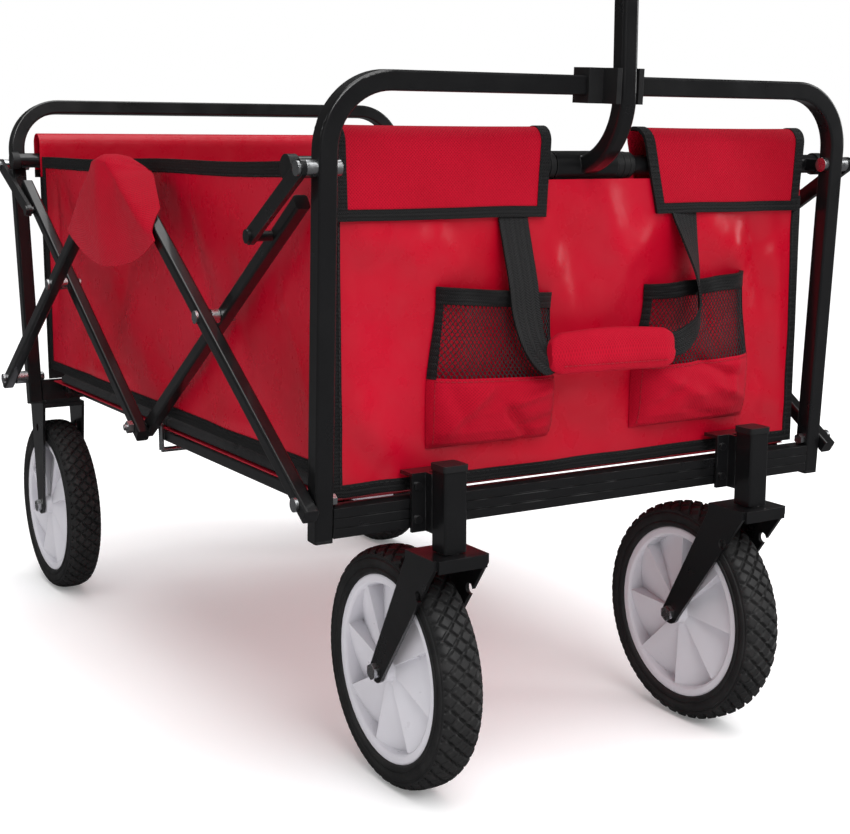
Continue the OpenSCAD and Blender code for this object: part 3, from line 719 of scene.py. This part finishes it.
# Each wheel stands at its own angle, in radians.
TURNED = {"front_left": 0.31, "front_right": 0.05, "rear_left": 0.5, "rear_right": 0.2}
for place, turn in TURNED.items():
    lo, hi = span("tyre_" + place)
    c = np.array([(lo[0] + hi[0]) / 2, (lo[1] + hi[1]) / 2, (lo[2] + hi[2]) / 2])
    rot = np.array([[1, 0, 0], [0, math.cos(turn), -math.sin(turn)], [0, math.sin(turn), math.cos(turn)]])
    tread = (TP.reshape(-1, 3) @ rot.T) + c
    body = "wheel_" + place
    wheel_part(f"tyre_{place}_tread", "tyre_" + place, body, tread, TF, TYRE, 38)
    hub = (HP.reshape(-1, 3) @ rot.T) + c
    wheel_part(f"hub_{place}_moulded", "hub_" + place, body, hub, HF, GREY, 18)

# ---------------- front panel
(px0, _, pz0), (px1, _, pz1) = span("front_panel")


def crease(x, z, segs, spread=1.0):
    """Soft folds: each is a ridge or hollow along a segment, fading at its ends."""
    out = 0.0
    for ax, az, bx, bz, w, depth in segs:
        width = w * spread
        dx, dz = bx - ax, bz - az
        ln = math.hypot(dx, dz)
        t = ((x - ax) * dx + (z - az) * dz) / (ln * ln)
        if t < -0.2 or t > 1.2:
            continue
        d = abs((x - ax) * dz - (z - az) * dx) / ln
        if d < 3 * width:
            fade = ease(-0.2, 0.25, t) * ease(1.2, 0.75, t)
            out += depth * fade * math.exp(-(d / width) ** 2 * (0.6 + 0.4 * width / (width + d)))
    return out


# Folds in the panel: x and z of one end, x and z of the other, width and depth.
FOLD_SPREAD = 1.5
FOLD_DEPTH = 1.25
PANEL_DEPTH_AT = 9.4
PANEL_FOLDS = [(-8, 488, -38, 408, 9, -3.4), (14, 488, 34, 420, 8, -2.9), (-30, 470, 20, 402, 11, 2.7),
               (60, 452, 20, 398, 10, -3.2), (-215, 452, -140, 428, 12, -3.4),
               (-222, 420, -170, 436, 9, 2.9), (-150, 456, -118, 420, 9, -2.5),
               (-30, 452, 2, 380, 9, 2.5), (120, 458, 160, 424, 10, -3.2), (176, 456, 196, 380, 8, 3.4),
               (206, 440, 214, 330, 7, -3.4), (190, 350, 204, 270, 8, 2.7), (222, 452, 190, 430, 7, 2.5),
               (-222, 330, -176, 280, 12, -3.2), (-222, 300, -180, 264, 9, 2.7),
               (-20, 330, 30, 300, 14, -2.5), (-25, 300, 25, 276, 9, 2.3), (-120, 280, -20, 266, 7, -2.1),
               (60, 278, 150, 266, 7, 2.1), (-215, 390, -168, 380, 14, 2.1),
               (-30, 392, 30, 386, 13, -2.3), (150, 440, 176, 420, 9, -2.1),
               (184, 300, 226, 286, 9, -2.7)]


def panel_y(x, z):
    """How far back the front panel's cloth lies at a place on it."""
    w = (z - pz0) / (pz1 - pz0)
    u = x / px1
    y = PANEL_DEPTH_AT - 2.0 * math.cos(u * math.pi / 2) * math.sin(max(0.0, min(1.0, w)) * math.pi)
    y += FOLD_DEPTH * crease(x, z, PANEL_FOLDS, FOLD_SPREAD)
    y += 1.5 * nz(x, z, 0, 75, 3.1) + 0.5 * nz(x, z, 0, 24, 7.7)
    edge = min(1.0, (px1 - abs(x)) / 26.0)
    return PANEL_DEPTH_AT + (y - PANEL_DEPTH_AT) * max(0.15, edge)


def front_fn(u, v):
    x = px0 + 0.6 + (px1 - px0 - 1.2) * u
    z = pz0 + 0.4 + (pz1 - pz0 - 1.0) * v
    return (x, panel_y(x, z), z)


P = surface(front_fn, 190, 100)
front = shell("front_panel_cloth", P, RED, 1.1)
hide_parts("front_panel")
side_w = PANEL_TAPE_W / (px1 - px0)
hem_h = PANEL_HEM_W / (pz1 - pz0)
edges = []
tapes = [(-0.001, side_w, 0.0, 0.93, 8, 90), (1 - side_w, 1.001, 0.0, 0.93, 8, 90),
         (side_w, 1 - side_w, -0.002, hem_h, 150, 8)]
for i, (a, b, c, d, nu, nv) in enumerate(tapes):
    edges.append(shell(f"front_panel_binding_{i}", surface(front_fn, nu, nv, a, b, c, d), BIND, 2.5))
rows = stitch_row(front_fn, [((side_w * 0.8, 0.02), (side_w * 0.8, 0.9)),
                             ((1 - side_w * 0.8, 0.02), (1 - side_w * 0.8, 0.9)),
                             ((0.03, hem_h * 0.8), (0.97, hem_h * 0.8))], 1.45)
edges.append(threads("front_panel_stitches", rows, THREAD_R, THREAD))
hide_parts("front_bindings")
settle([front] + edges, "front_end")

# ---------------- flaps over the front cross tube
(fx0, _, fz0), (fx1, _, fz1) = span("front_flaps")


def loop_path(y_a, y_b, z_top, z_a, z_b, n=14):
    """Cloth cross-section: up the front, round over the tube and down the back."""
    r = (y_b - y_a) / 2
    pts = [(y_a, z_a + (z_top - r - z_a) * t) for t in np.linspace(0, 1, 12)]
    pts += [(y_a + r - r * math.cos(math.pi * t), z_top - r + r * math.sin(math.pi * t))
            for t in np.linspace(0, 1, n)[1:-1]]
    pts += [(y_b, z_top - r + (z_b - z_top + r) * t) for t in np.linspace(0, 1, 8)]
    P = np.array(pts)
    run = np.concatenate([[0], np.cumsum(np.linalg.norm(np.diff(P, axis=0), axis=1))])
    return P, run / run[-1]


BACK_Z = 483
FLAP_P, FLAP_T = loop_path(5.6, 29.4, fz1 - 0.8, fz0 + 0.8, BACK_Z)


def flap_fn(x0, x1, slant0, slant1, seed):
    """A flap between x0 and x1; each slant is how much further its edge leans from top to bottom."""
    def fn(u, v):
        y = float(np.interp(v, FLAP_T, FLAP_P[:, 0]))
        z = float(np.interp(v, FLAP_T, FLAP_P[:, 1]))
        down = max(0.0, (fz1 - z) / (fz1 - fz0))
        x = x0 + (x1 - x0) * u
        x += (slant0 * (1 - u) + slant1 * u) * (down - 0.5)
        face = ease(0.62, 0.0, v)
        y += -1.6 * face * math.sin(math.pi * u) * down + 0.9 * face * nz(x, z, 0, 40, seed)
        sag = 2.2 * math.sin(math.pi * u) * ease(0.42, 0.5, v) * ease(0.62, 0.5, v)
        z += 0.9 * nz(x, 0, 0, 60, seed + 5) * face - sag
        return (x, y, z)
    return fn


for tag, x0, x1, s0, s1, seed in (("left", fx0 + 0.4, -41.0, 2.0, -5.0, 1.3),
                                  ("right", 62.0, fx1 - 0.4, 17.0, -6.0, 4.9)):
    fn = flap_fn(x0, x1, s0, s1, seed)
    P = surface(fn, 90, 56)
    cloth = shell("flap_" + tag, P, REDW, 1.2)
    wb = FLAP_TAPE_W / (x1 - x0)
    vb = FLAP_TAPE_W / (lengths(P)[1] * 1000)
    bands = [shell(f"flap_{tag}_binding_0", surface(fn, 80, 7, 0.0, 1.0, -0.004, vb), BIND, 2.6),
             shell(f"flap_{tag}_binding_1", surface(fn, 7, 50, -0.004, wb, 0.0, 0.62), BIND, 2.7),
             shell(f"flap_{tag}_binding_2", surface(fn, 7, 50, 1 - wb, 1.004, 0.0, 0.62), BIND, 2.7)]
    rows = stitch_row(fn, [((wb, vb * 0.82), (1 - wb, vb * 0.82)), ((wb * 0.82, vb), (wb * 0.82, 0.5)),
                           ((1 - wb * 0.82, vb), (1 - wb * 0.82, 0.5))], -1.55)
    bands.append(threads(f"flap_{tag}_stitches", rows, THREAD_R, THREAD))
    settle([cloth] + bands, "front_end")
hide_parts("front_flaps")

# ---------------- plastic spacers beside the handle's sleeve
_, (_, tube_back, tube_top) = span("front_cross_tube")
CROSS_TUBE_R = 8.0
RING_SIDES = 48
tube_y, tube_z = tube_back - CROSS_TUBE_R, tube_top - CROSS_TUBE_R
# A ribbed ring: distance from the middle, and radius.
RING_PROFILE = [(30.4, 8.1), (30.4, 10.6), (31.0, 11.2), (35.6, 11.2), (36.2, 10.2), (37.0, 10.2), (37.6, 11.0),
                (42.0, 11.0), (42.6, 10.0), (43.4, 10.0), (44.0, 10.6), (47.6, 10.6), (48.4, 9.9), (48.4, 8.1)]
parts = []
for side in (-1, 1):
    th = np.linspace(0, 2 * math.pi, RING_SIDES, endpoint=False)
    P = np.array([[(side * x, tube_y + r * math.cos(t), tube_z + r * math.sin(t)) for t in th]
                  for x, r in RING_PROFILE])
    f = lathe_faces(len(RING_PROFILE), RING_SIDES)
    f = f if side < 0 else f[:, ::-1]
    parts.append((P.reshape(-1, 3), f, np.zeros((P.shape[0] * RING_SIDES, 2))))
v, f, u = join_arrays(parts)
spacers = put_mesh("cross_tube_spacers", v, f, PLASTIC, None, 35)
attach(spacers, "front_end")

# ---------------- rear panel looping over the rear cross tube
(rx0, ry0, rz0), (rx1, ry1, rz1) = span("rear_panel")
REAR_P, REAR_T = loop_path(ry0 + 0.8, ry1 - 0.8, rz1 - 0.8, rz0 + 0.6, BACK_Z)


def rear_fn(u, v):
    y = float(np.interp(v, REAR_T, REAR_P[:, 0]))
    z = float(np.interp(v, REAR_T, REAR_P[:, 1]))
    x = rx0 + 0.6 + (rx1 - rx0 - 1.2) * u
    edge = min(1.0, (rx1 - abs(x)) / 30.0)
    face = ease(0.72, 0.55, v) * edge
    belly = 3.0 * math.sin(math.pi * u) * math.sin(math.pi * min(1.0, v / 0.7))
    y += face * (belly + 1.6 * nz(x, z, 0, 70, 9.2))
    z -= 2.5 * math.sin(math.pi * u) * ease(0.62, 0.70, v) * ease(0.84, 0.74, v)
    return (x, y, z)


P = surface(rear_fn, 150, 110)
rear = shell("rear_panel_cloth", P, RED, 1.2)
wb = PANEL_TAPE_W / (rx1 - rx0)
bands = [shell("rear_binding_0", surface(rear_fn, 7, 90, -0.001, wb, 0.0, 0.68), BIND, 2.5),
         shell("rear_binding_1", surface(rear_fn, 7, 90, 1 - wb, 1.001, 0.0, 0.68), BIND, 2.5),
         shell("rear_binding_2", surface(rear_fn, 120, 6, wb, 1 - wb, -0.001, 0.027), BIND, 2.5),
         shell("rear_binding_3", surface(rear_fn, 120, 6, 0, 1, 0.975, 1.001), BIND, 2.5)]
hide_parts("rear_panel")
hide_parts("rear_binding")
settle([rear] + bands, "rear_end")

# ---------------- side panels
(_, sy0, sz0), (sx1, sy1, sz1) = span("side_panel_right")
cut_y = span("side_bindings")[0][1]
# Folding pulls the tub flat along y, to this share of its length, against the front panel.
FOLDED_SHARE = 0.215
SQUASH = ("fold", (0, 1, 0), (0, Y0 + sy0 * 0.001, 0.3), FOLDED_SHARE)
panel_mid = (sy0 + sy1) / 2

# Folds in the side panels, as y and z of their ends, width and depth.
SIDE_FOLDS = [(60, 480, 130, 400, 12, -2.0), (40, 300, 110, 420, 14, 1.8), (160, 300, 210, 430, 16, -1.8),
              (300, 470, 250, 360, 14, -2.0), (430, 470, 490, 350, 14, -2.0), (560, 290, 610, 420, 16, 1.8),
              (650, 480, 600, 400, 12, -1.8), (330, 300, 400, 330, 12, -1.6), (20, 340, 50, 470, 8, -2.0),
              (690, 340, 670, 470, 8, -2.0), (120, 290, 240, 282, 8, 1.6), (460, 290, 560, 282, 8, 1.6)]


def side_fn(sign):
    """The left (-1) or right (1) side panel, which dips in front and sags in between its fixings."""
    def fn(u, v):
        y = sy0 + 0.4 + (sy1 - sy0 - 0.8) * u
        top = sz1 - 0.6 - 3.0 * math.sin(math.pi * abs(2 * u - 1)) ** 2 * 0.6
        if y < cut_y + 12:
            top -= 13.5 * ease(cut_y + 12, cut_y - 4, y)
        z = sz0 + 0.4 + (top - sz0 - 0.4) * v
        ends = min(1.0, min(u, 1 - u) / 0.05)
        belly = max(0.0, math.sin(math.pi * v)) ** 0.8
        x = 229.6 - ends * belly * (2.6 + 2.6 * math.sin(2 * math.pi * u * 1.5 + 0.7) ** 2)
        x += ends * belly * (1.8 * nz(y, z, 0, 120, 2.2 + sign) + 0.7 * nz(y, z * 0.6, 0, 50, 5.5 + sign))
        x += ends * 1.4 * crease(y, z, SIDE_FOLDS)
        d = abs(y - panel_mid)
        near = math.exp(-((d - (505 - z) * 0.9) / 60) ** 2)
        x += 1.6 * ends * belly * math.sin((d - (505 - z) * 1.1) / 20.0) * near
        return (sign * x, y, z)
    return fn


for tag, sign in (("left", -1), ("right", 1)):
    fn = side_fn(sign)
    P = surface(fn, 220, 84)
    cloth = shell("side_" + tag + "_cloth", P, RED, 1.1)
    h = sz1 - sz0
    top_tape = surface(fn, 200, 9, 0.0, 1.0, 1 - SIDE_TAPE_TOP / h, 1.006)
    low_tape = surface(fn, 200, 7, 0.0, 1.0, -0.004, SIDE_TAPE_BOTTOM / h)
    bands = [shell(f"side_{tag}_binding_0", top_tape, BIND, 2.7),
             shell(f"side_{tag}_binding_1", low_tape, BIND, 2.7),
             shell(f"side_{tag}_binding_2", surface(fn, 6, 60, -0.0006, 0.013, 0.0, 0.99), BIND, 2.6),
             shell(f"side_{tag}_binding_3", surface(fn, 6, 60, 0.987, 1.0006, 0.0, 0.99), BIND, 2.6)]
    top_row = ((0.01, 1 - 9.4 / h), (0.99, 1 - 9.4 / h))
    bottom_row = ((0.01, 7.2 / h), (0.99, 7.2 / h))
    rows = stitch_row(fn, [top_row, bottom_row], 1.6 * sign, 500)
    rows += stitch_row(fn, [top_row], -1.6 * sign, 500)
    bands.append(threads(f"side_{tag}_stitches", rows, THREAD_R, THREAD))
    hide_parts("side_panel_" + tag)
    if tag == "left":
        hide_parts("side_bindings")
    settle([cloth] + bands, "front_end", SQUASH)

# ---------------- floor cloth and mats
(cx0, cy0, cz0), (cx1, cy1, cz1) = span("floor_cloth")


def floor_fn(u, v):
    x = cx0 + (cx1 - cx0) * u
    y = cy0 + (cy1 - cy0) * v
    return (x, y, (cz0 + cz1) / 2 - 0.05 + 0.1 * nz(x, y, 0, 60, 8.8))


P = surface(floor_fn, 60, 90)
floorcloth = shell("floor_cloth_sheet", P, REDIN, 0.8)
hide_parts("floor_cloth")
settle([floorcloth], "front_end", SQUASH)


MAT_NX, MAT_NY = 110, 84


def mat_piece(tag):
    """A padded mat with rounded edges, a seam inside its rim and one across its middle."""
    (ax, ay, az), (bx, by, bz) = span("mat_" + tag)
    lo = np.array([ax + 0.5, ay + 0.5, az + 0.2])
    hi = np.array([bx - 0.5, by - 0.5, bz + 1.8])
    ym = (lo[1] + hi[1]) / 2
    above, below = [], []
    for i in range(MAT_NX):
        for j in range(MAT_NY):
            x = lo[0] + (hi[0] - lo[0]) * i / (MAT_NX - 1)
            y = lo[1] + (hi[1] - lo[1]) * j / (MAT_NY - 1)
            rim = min(x - lo[0], hi[0] - x, y - lo[1], hi[1] - y)
            top = hi[2] - 3.4 * (1 - min(1.0, rim / 5.0)) ** 2
            top -= 2.4 * math.exp(-((y - ym) / 2.4) ** 2)
            top -= 1.5 * math.exp(-((rim - 13) / 1.6) ** 2)
            top += 0.5 * nz(x, y, 0, 60, 6.0) * min(1.0, rim / 20.0)
            above.append((x, y, top))
            below.append((x, y, lo[2] + 1.2 * (1 - min(1.0, rim / 4.0)) ** 2))
    verts = np.array(above + below)
    ob = put_mesh("mat_" + tag + "_pad", verts, slab_faces(MAT_NX, MAT_NY), MATM, verts[:, :2] * 0.001, 60)
    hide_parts("mat_" + tag)
    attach(ob, "floor_" + tag)


mat_piece("front")
mat_piece("rear")

# ---------------- pockets
(kx0, _, kz0), (kx1, _, kz1) = span("pockets")
PZ = {"left": (kx0, kx0 + 114.0, kz0 + 2, kz1), "right": (kx1 - 125.0, kx1, kz0, kz1)}
POCKET_FOLDS = {
    "left": [(-150, 292, -104, 336, 5, 4.0), (-60, 286, -92, 318, 4, -5.0), (-92, 318, -40, 330, 4, 4.5),
             (-74, 300, -38, 306, 4, -4.0), (-140, 340, -124, 300, 6, -2.5), (-88, 400, -60, 340, 6, -3.0),
             (-120, 400, -128, 350, 8, 2.0)],
    "right": [(60, 330, 110, 308, 5, 4.5), (100, 340, 150, 322, 4, -5.0), (120, 318, 168, 300, 4, 4.5),
              (56, 300, 90, 322, 5, -3.5), (90, 300, 140, 288, 4, -3.0), (150, 340, 140, 306, 5, 3.0),
              (110, 400, 124, 345, 6, -3.0), (84, 400, 76, 350, 7, 2.0)]}
# How far a pocket stands off the panel (mm) at each height up it (0 to 1), and where its net starts.
POCKET_V = [0.0, 0.035, 0.10, 0.22, 0.40, 0.48, 0.70, 0.90, 1.0]
POCKET_DEPTH = [0.0, 12.0, 18.5, 23.0, 24.0, 20.0, 14.0, 12.5, 14.5]
NET_FROM = 0.445
NET_PITCH = 3.9
NET_SLOPE = 0.72
NET_STEPS = 40


def pocket_fn(tag):
    """A pocket's front, its edges held to the panel and its mouth standing open."""
    x0, x1, z0, z1 = PZ[tag]
    left = tag == "left"
    seed = 1.0 if left else 6.0

    def fn(u, v):
        a = abs(2 * u - 1)
        q = (1 - a ** 5) ** 0.7 if a < 1 else 0.0
        taper = ease(0.30, 0.95, v)
        x = x0 + (9.0 if left else 12.0) * taper
        x += (x1 - (1.0 if left else 6.0) * taper - x) * u
        z = z0 + (z1 - (9.0 * u if left else 7.0 * (1 - u)) - z0) * v
        d = float(np.interp(v, POCKET_V, POCKET_DEPTH)) * q * (0.80 + 0.32 * (u if left else 1 - u))
        d += q * (crease(x, z, POCKET_FOLDS[tag]) + 1.2 * nz(x, z, 0, 22, seed))
        d += q * ease(0.8, 1.0, v) * 1.8 * math.sin(u * 17 + seed)
        return (x, panel_y(x, z) - 1.3 - max(0.0, d), z)
    return fn


def net_paths(fn, W, H, low, high):
    """Two crossing sets of slanted threads over a pocket's net."""
    paths = []
    for sgn in (1, -1):
        c = -H * NET_SLOPE
        while c < W + H * NET_SLOPE:
            pts = []
            for i in range(NET_STEPS + 1):
                v = low + (high - low) * i / NET_STEPS
                x = c + sgn * (v - low) * H * NET_SLOPE + (0.35 * sgn if i % 2 else 0)
                if 0.5 <= x <= W - 0.5:
                    pts.append(fn(x / W, v))
            if len(pts) > 2:
                paths.append(pts)
            c += NET_PITCH
    return paths


for tag in ("left", "right"):
    fn = pocket_fn(tag)
    x0, x1, z0, z1 = PZ[tag]
    P = surface(fn, 90, 60, 0.0, 1.0, 0.0, NET_FROM)
    body = shell("pocket_" + tag + "_cloth", P, REDW, 1.2)
    W, H = x1 - x0, (z1 - z0)
    lo_v, hi_v = NET_FROM - 0.01, 1 - 11.0 / H
    net = threads("pocket_" + tag + "_net", net_paths(fn, W, H, lo_v, hi_v), NET_THREAD_R, NET, 3)
    mouth = shell("pocket_" + tag + "_elastic", surface(fn, 90, 9, 0.0, 1.0, 1 - POCKET_ELASTIC_W / H, 1.0),
                  BIND, 2.8)
    hems = [shell(f"pocket_{tag}_hem_{i}", surface(fn, 6, 40, a, b, lo_v, 0.98), BIND, 1.9)
            for i, (a, b) in enumerate([(0.0, 0.035), (0.965, 1.0)])]
    rows = stitch_row(fn, [((0.02, NET_FROM - 0.02), (0.98, NET_FROM - 0.02)),
                           ((0.03, 0.03), (0.03, NET_FROM)), ((0.97, 0.03), (0.97, NET_FROM))], 0.9, 160)
    seam = threads(f"pocket_{tag}_seam", rows, FINE_THREAD_R, REDTHREAD)
    rest = [net, mouth, seam] + hems
    for o in rest[1:]:
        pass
    settle([body] + rest, "front_end")
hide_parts("pockets")


# ---------------- carrying straps and hand grip
def strap(name, keys, thick=1.7, n=90):
    """Flat webbing through a list of (centre, direction of its width, and its width unless STRAP_W)."""
    K = [np.array(k[0], float) for k in keys]
    D = [np.array(k[1], float) / np.linalg.norm(k[1]) for k in keys]
    W = [k[2] if len(k) > 2 else STRAP_W for k in keys]
    t = np.linspace(0, len(K) - 1, n)

    def smooth(vals):
        vals = np.array(vals, float)
        m = np.gradient(vals, axis=0)
        out = []
        for x in t:
            i = min(int(x), len(vals) - 2)
            f = x - i
            h00, h10 = 2 * f ** 3 - 3 * f ** 2 + 1, f ** 3 - 2 * f ** 2 + f
            h01, h11 = -2 * f ** 3 + 3 * f ** 2, f ** 3 - f ** 2
            out.append(h00 * vals[i] + h10 * m[i] + h01 * vals[i + 1] + h11 * m[i + 1])
        return np.array(out)

    C, Dn, Wn = smooth(K), smooth(D), smooth(W)
    Dn /= np.linalg.norm(Dn, axis=1, keepdims=True)
    cross = np.linspace(-0.5, 0.5, 9)
    P = np.array([[C[i] + Dn[i] * Wn[i] * c for c in cross] for i in range(n)])
    return shell(name, P, WEB, thick, sharp=40)


# The straps leave the flaps at LX and RX and twist into the ends of the grip.
(tx0, _, _), (tx1, _, _) = span("carry_straps")
LX, RX = tx0 + 16.2, tx1 - 13.5
left_strap = strap("carry_strap_left", [
    ((LX, 7.4, 484), (1, 0, 0)), ((LX, 6.0, 464), (1, 0, 0)), ((LX, -1.0, 440), (1, 0.02, 0)),
    ((LX + 0.5, -9, 412), (1, 0.03, 0)), ((LX + 1, -13.5, 388), (1, 0.06, 0.05)),
    ((LX + 4, -20, 366), (0.85, 0.2, 0.4), 25), ((LX + 11, -28, 352), (0.35, 0.2, 0.9), 22),
    ((LX + 22, -30.5, 356), (0.0, 0.05, 1), 20)])
right_strap = strap("carry_strap_right", [
    ((RX, 7.4, 484), (1, 0, 0)), ((RX, 6.0, 464), (1, 0.05, 0)), ((RX, -3, 440), (0.90, 0.42, 0)),
    ((RX, -14, 412), (0.70, 0.70, 0.02)), ((RX - 2, -20, 390), (0.60, 0.80, 0.1)),
    ((RX - 10, -26, 371), (0.66, 0.55, -0.5), 24), ((RX - 29, -31, 360), (0.3, 0.1, -0.95), 21),
    ((RX - 44, -30, 357), (0.0, 0.0, -1), 20)])
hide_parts("carry_straps")
settle([left_strap, right_strap], "front_end")

(gx0, gy0, gz0), (gx1, gy1, gz1) = span("carry_grip")


GRIP_END = 0.08
GRIP_SQUARENESS = 3.0


def grip_fn(u, v):
    """The padded grip: a flat rounded roll, narrower at its ends, with a lap along it."""
    x = gx0 + (gx1 - gx0) * u
    a = 2 * math.pi * v
    ry = 5.4 + 0.9 * math.sin(math.pi * u)
    rz = 15.6 + 1.8 * math.sin(math.pi * u) ** 0.6
    if u < GRIP_END or u > 1 - GRIP_END:
        k = 0.62 + 0.38 * math.sqrt(max(0.0, min(u, 1 - u) / GRIP_END))
        ry, rz = ry * k, rz * k
    cy, cz = (gy0 + gy1) / 2, (gz0 + gz1) / 2 + 2.0 * math.sin(math.pi * u) - 2.0 * (u - 0.5)
    ca, sa = math.cos(a), math.sin(a)
    y = cy + ry * math.copysign(abs(ca) ** (2 / GRIP_SQUARENESS), ca)
    z = cz + rz * math.copysign(abs(sa) ** (2 / GRIP_SQUARENESS), sa)
    wob = 0.9 * nz(x, z, y, 24, 2.7) + 0.5 * math.sin(x / 7.0 + z / 9.0) * math.sin(math.pi * u)
    lap = 1.3 if 0.50 < v < 0.87 else 0.0
    y += (wob + lap) * ca
    return (x, y, z)


def roll(name, fn, nu, nv, mat):
    """A closed roll on fn(u along it, v round it)."""
    us, vs = np.linspace(0, 1, nu), np.linspace(0, 1, nv, endpoint=False)
    P = np.array([[fn(u, v) for v in vs] for u in us])
    faces = lathe_faces(nu, nv)
    caps = [tuple(range(nv - 1, -1, -1)), tuple((nu - 1) * nv + i for i in range(nv))]
    run = np.linspace(0, (gx1 - gx0) * 0.001, nu)
    around = np.linspace(0, 0.09, nv)
    uv = np.array([[a, b] for a in run for b in around])
    f = [tuple(q) for q in faces] + caps
    return put_mesh(name, P.reshape(-1, 3), f, mat, uv, 50)


hand = roll("carry_grip_wrap", grip_fn, 90, 60, REDW)
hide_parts("carry_grip")
seam_line = [(x, gy0 - 0.9, gz0 + 8.0 - 2.0 * ((x - gx0) / (gx1 - gx0) - 0.5))
             for x in np.linspace(gx0 + 8, gx1 - 8, 60)]
hand_seam = threads("carry_grip_stitches", dashes(seam_line), FINE_THREAD_R, REDTHREAD)
settle([hand, hand_seam], "front_end")

# ---------------- gussets over the scissor tops
(_, uy0, uz0), (G_OUT, uy1, uz1) = span("side_gussets")
GMID = (uy0 + uy1) / 2
IN_X = sx1 + 1.5
# A gusset's middle line, from the side panel over the scissor's top bolt and down outside it.
G_X = [IN_X, 243, 254, 266, 278, G_OUT + 0.5, G_OUT + 1.2, G_OUT + 1.5, G_OUT + 0.5, G_OUT - 1, G_OUT - 4]
G_Z = [uz1 - drop for drop in (30, 13, 5, 2.5, 3, 7.5, 18, 38, 58, 80)] + [uz0]
G_S = np.concatenate([[0], np.cumsum(np.hypot(np.diff(G_X), np.diff(G_Z)))])
G_S = G_S / G_S[-1]
BOLT_BELOW_TOP = 13.0
HEM_SEAM_R = 0.38


def gusset_fn(sign):
    """The left (-1) or right (1) gusset: a fan over the bars, held to the panel at its upper edges."""
    def fn(u, v):
        a = 2 * u - 1
        gx = float(np.interp(v, G_S, G_X))
        gz = float(np.interp(v, G_S, G_Z))
        low = ease(0.35, 1.0, v)
        lift = low * (uz1 - uz0) * 0.27
        drop = uz1 - BOLT_BELOW_TOP - gz - lift
        half = float(np.interp(drop, [-13, 0, 30, 62], [18, 27, 69, 106]))
        if v < 0.35:
            half = min(half, 12 + 60 * v)
        turn = float(np.interp(v, [0, 0.2, 0.35, 0.65, 1], [0.2, 0.3, 0.45, 0.84, 0.97]))
        held = float(np.interp(v, [0, 0.2, 0.5, 0.8, 0.95, 1], [1.0, 0.35, 0.25, 0.5, 0.95, 1.0]))
        edge = max(0.0, (abs(a) - turn) / (1 - turn))
        gx -= ease(0.3, 0.5, v) * 9.0 * ease(0.1, -0.7, a)
        gx = IN_X + (gx - IN_X) * (1 - (1 - held) * edge ** 1.6)
        gx += low * (1.0 * math.sin(a * 5 + 1.0) * (1 - abs(a)) + 1.0 * nz(a * 60, gz, 0, 44, 3 + sign))
        gz += lift * a * a - 13.0 * ease(0.0, 0.12, v) * (1 - ease(0.30, 0.55, v)) * a * a
        return (sign * gx, GMID + a * half, gz)
    return fn


for tag, sign in (("left", -1), ("right", 1)):
    fn = gusset_fn(sign)
    P = surface(fn, 64, 70)
    g = shell("gusset_" + tag, P, REDW, 1.3)
    rows = stitch_row(fn, [((0.03, 0.985), (0.97, 0.985)), ((0.03, 0.3), (0.03, 0.985)),
                           ((0.97, 0.3), (0.97, 0.985))], 0.95 * sign, 200)
    hem = threads(f"gusset_{tag}_seam", rows, HEM_SEAM_R, REDTHREAD)
    settle([g, hem], "apex")
    if tag == "left":
        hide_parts("side_gussets")
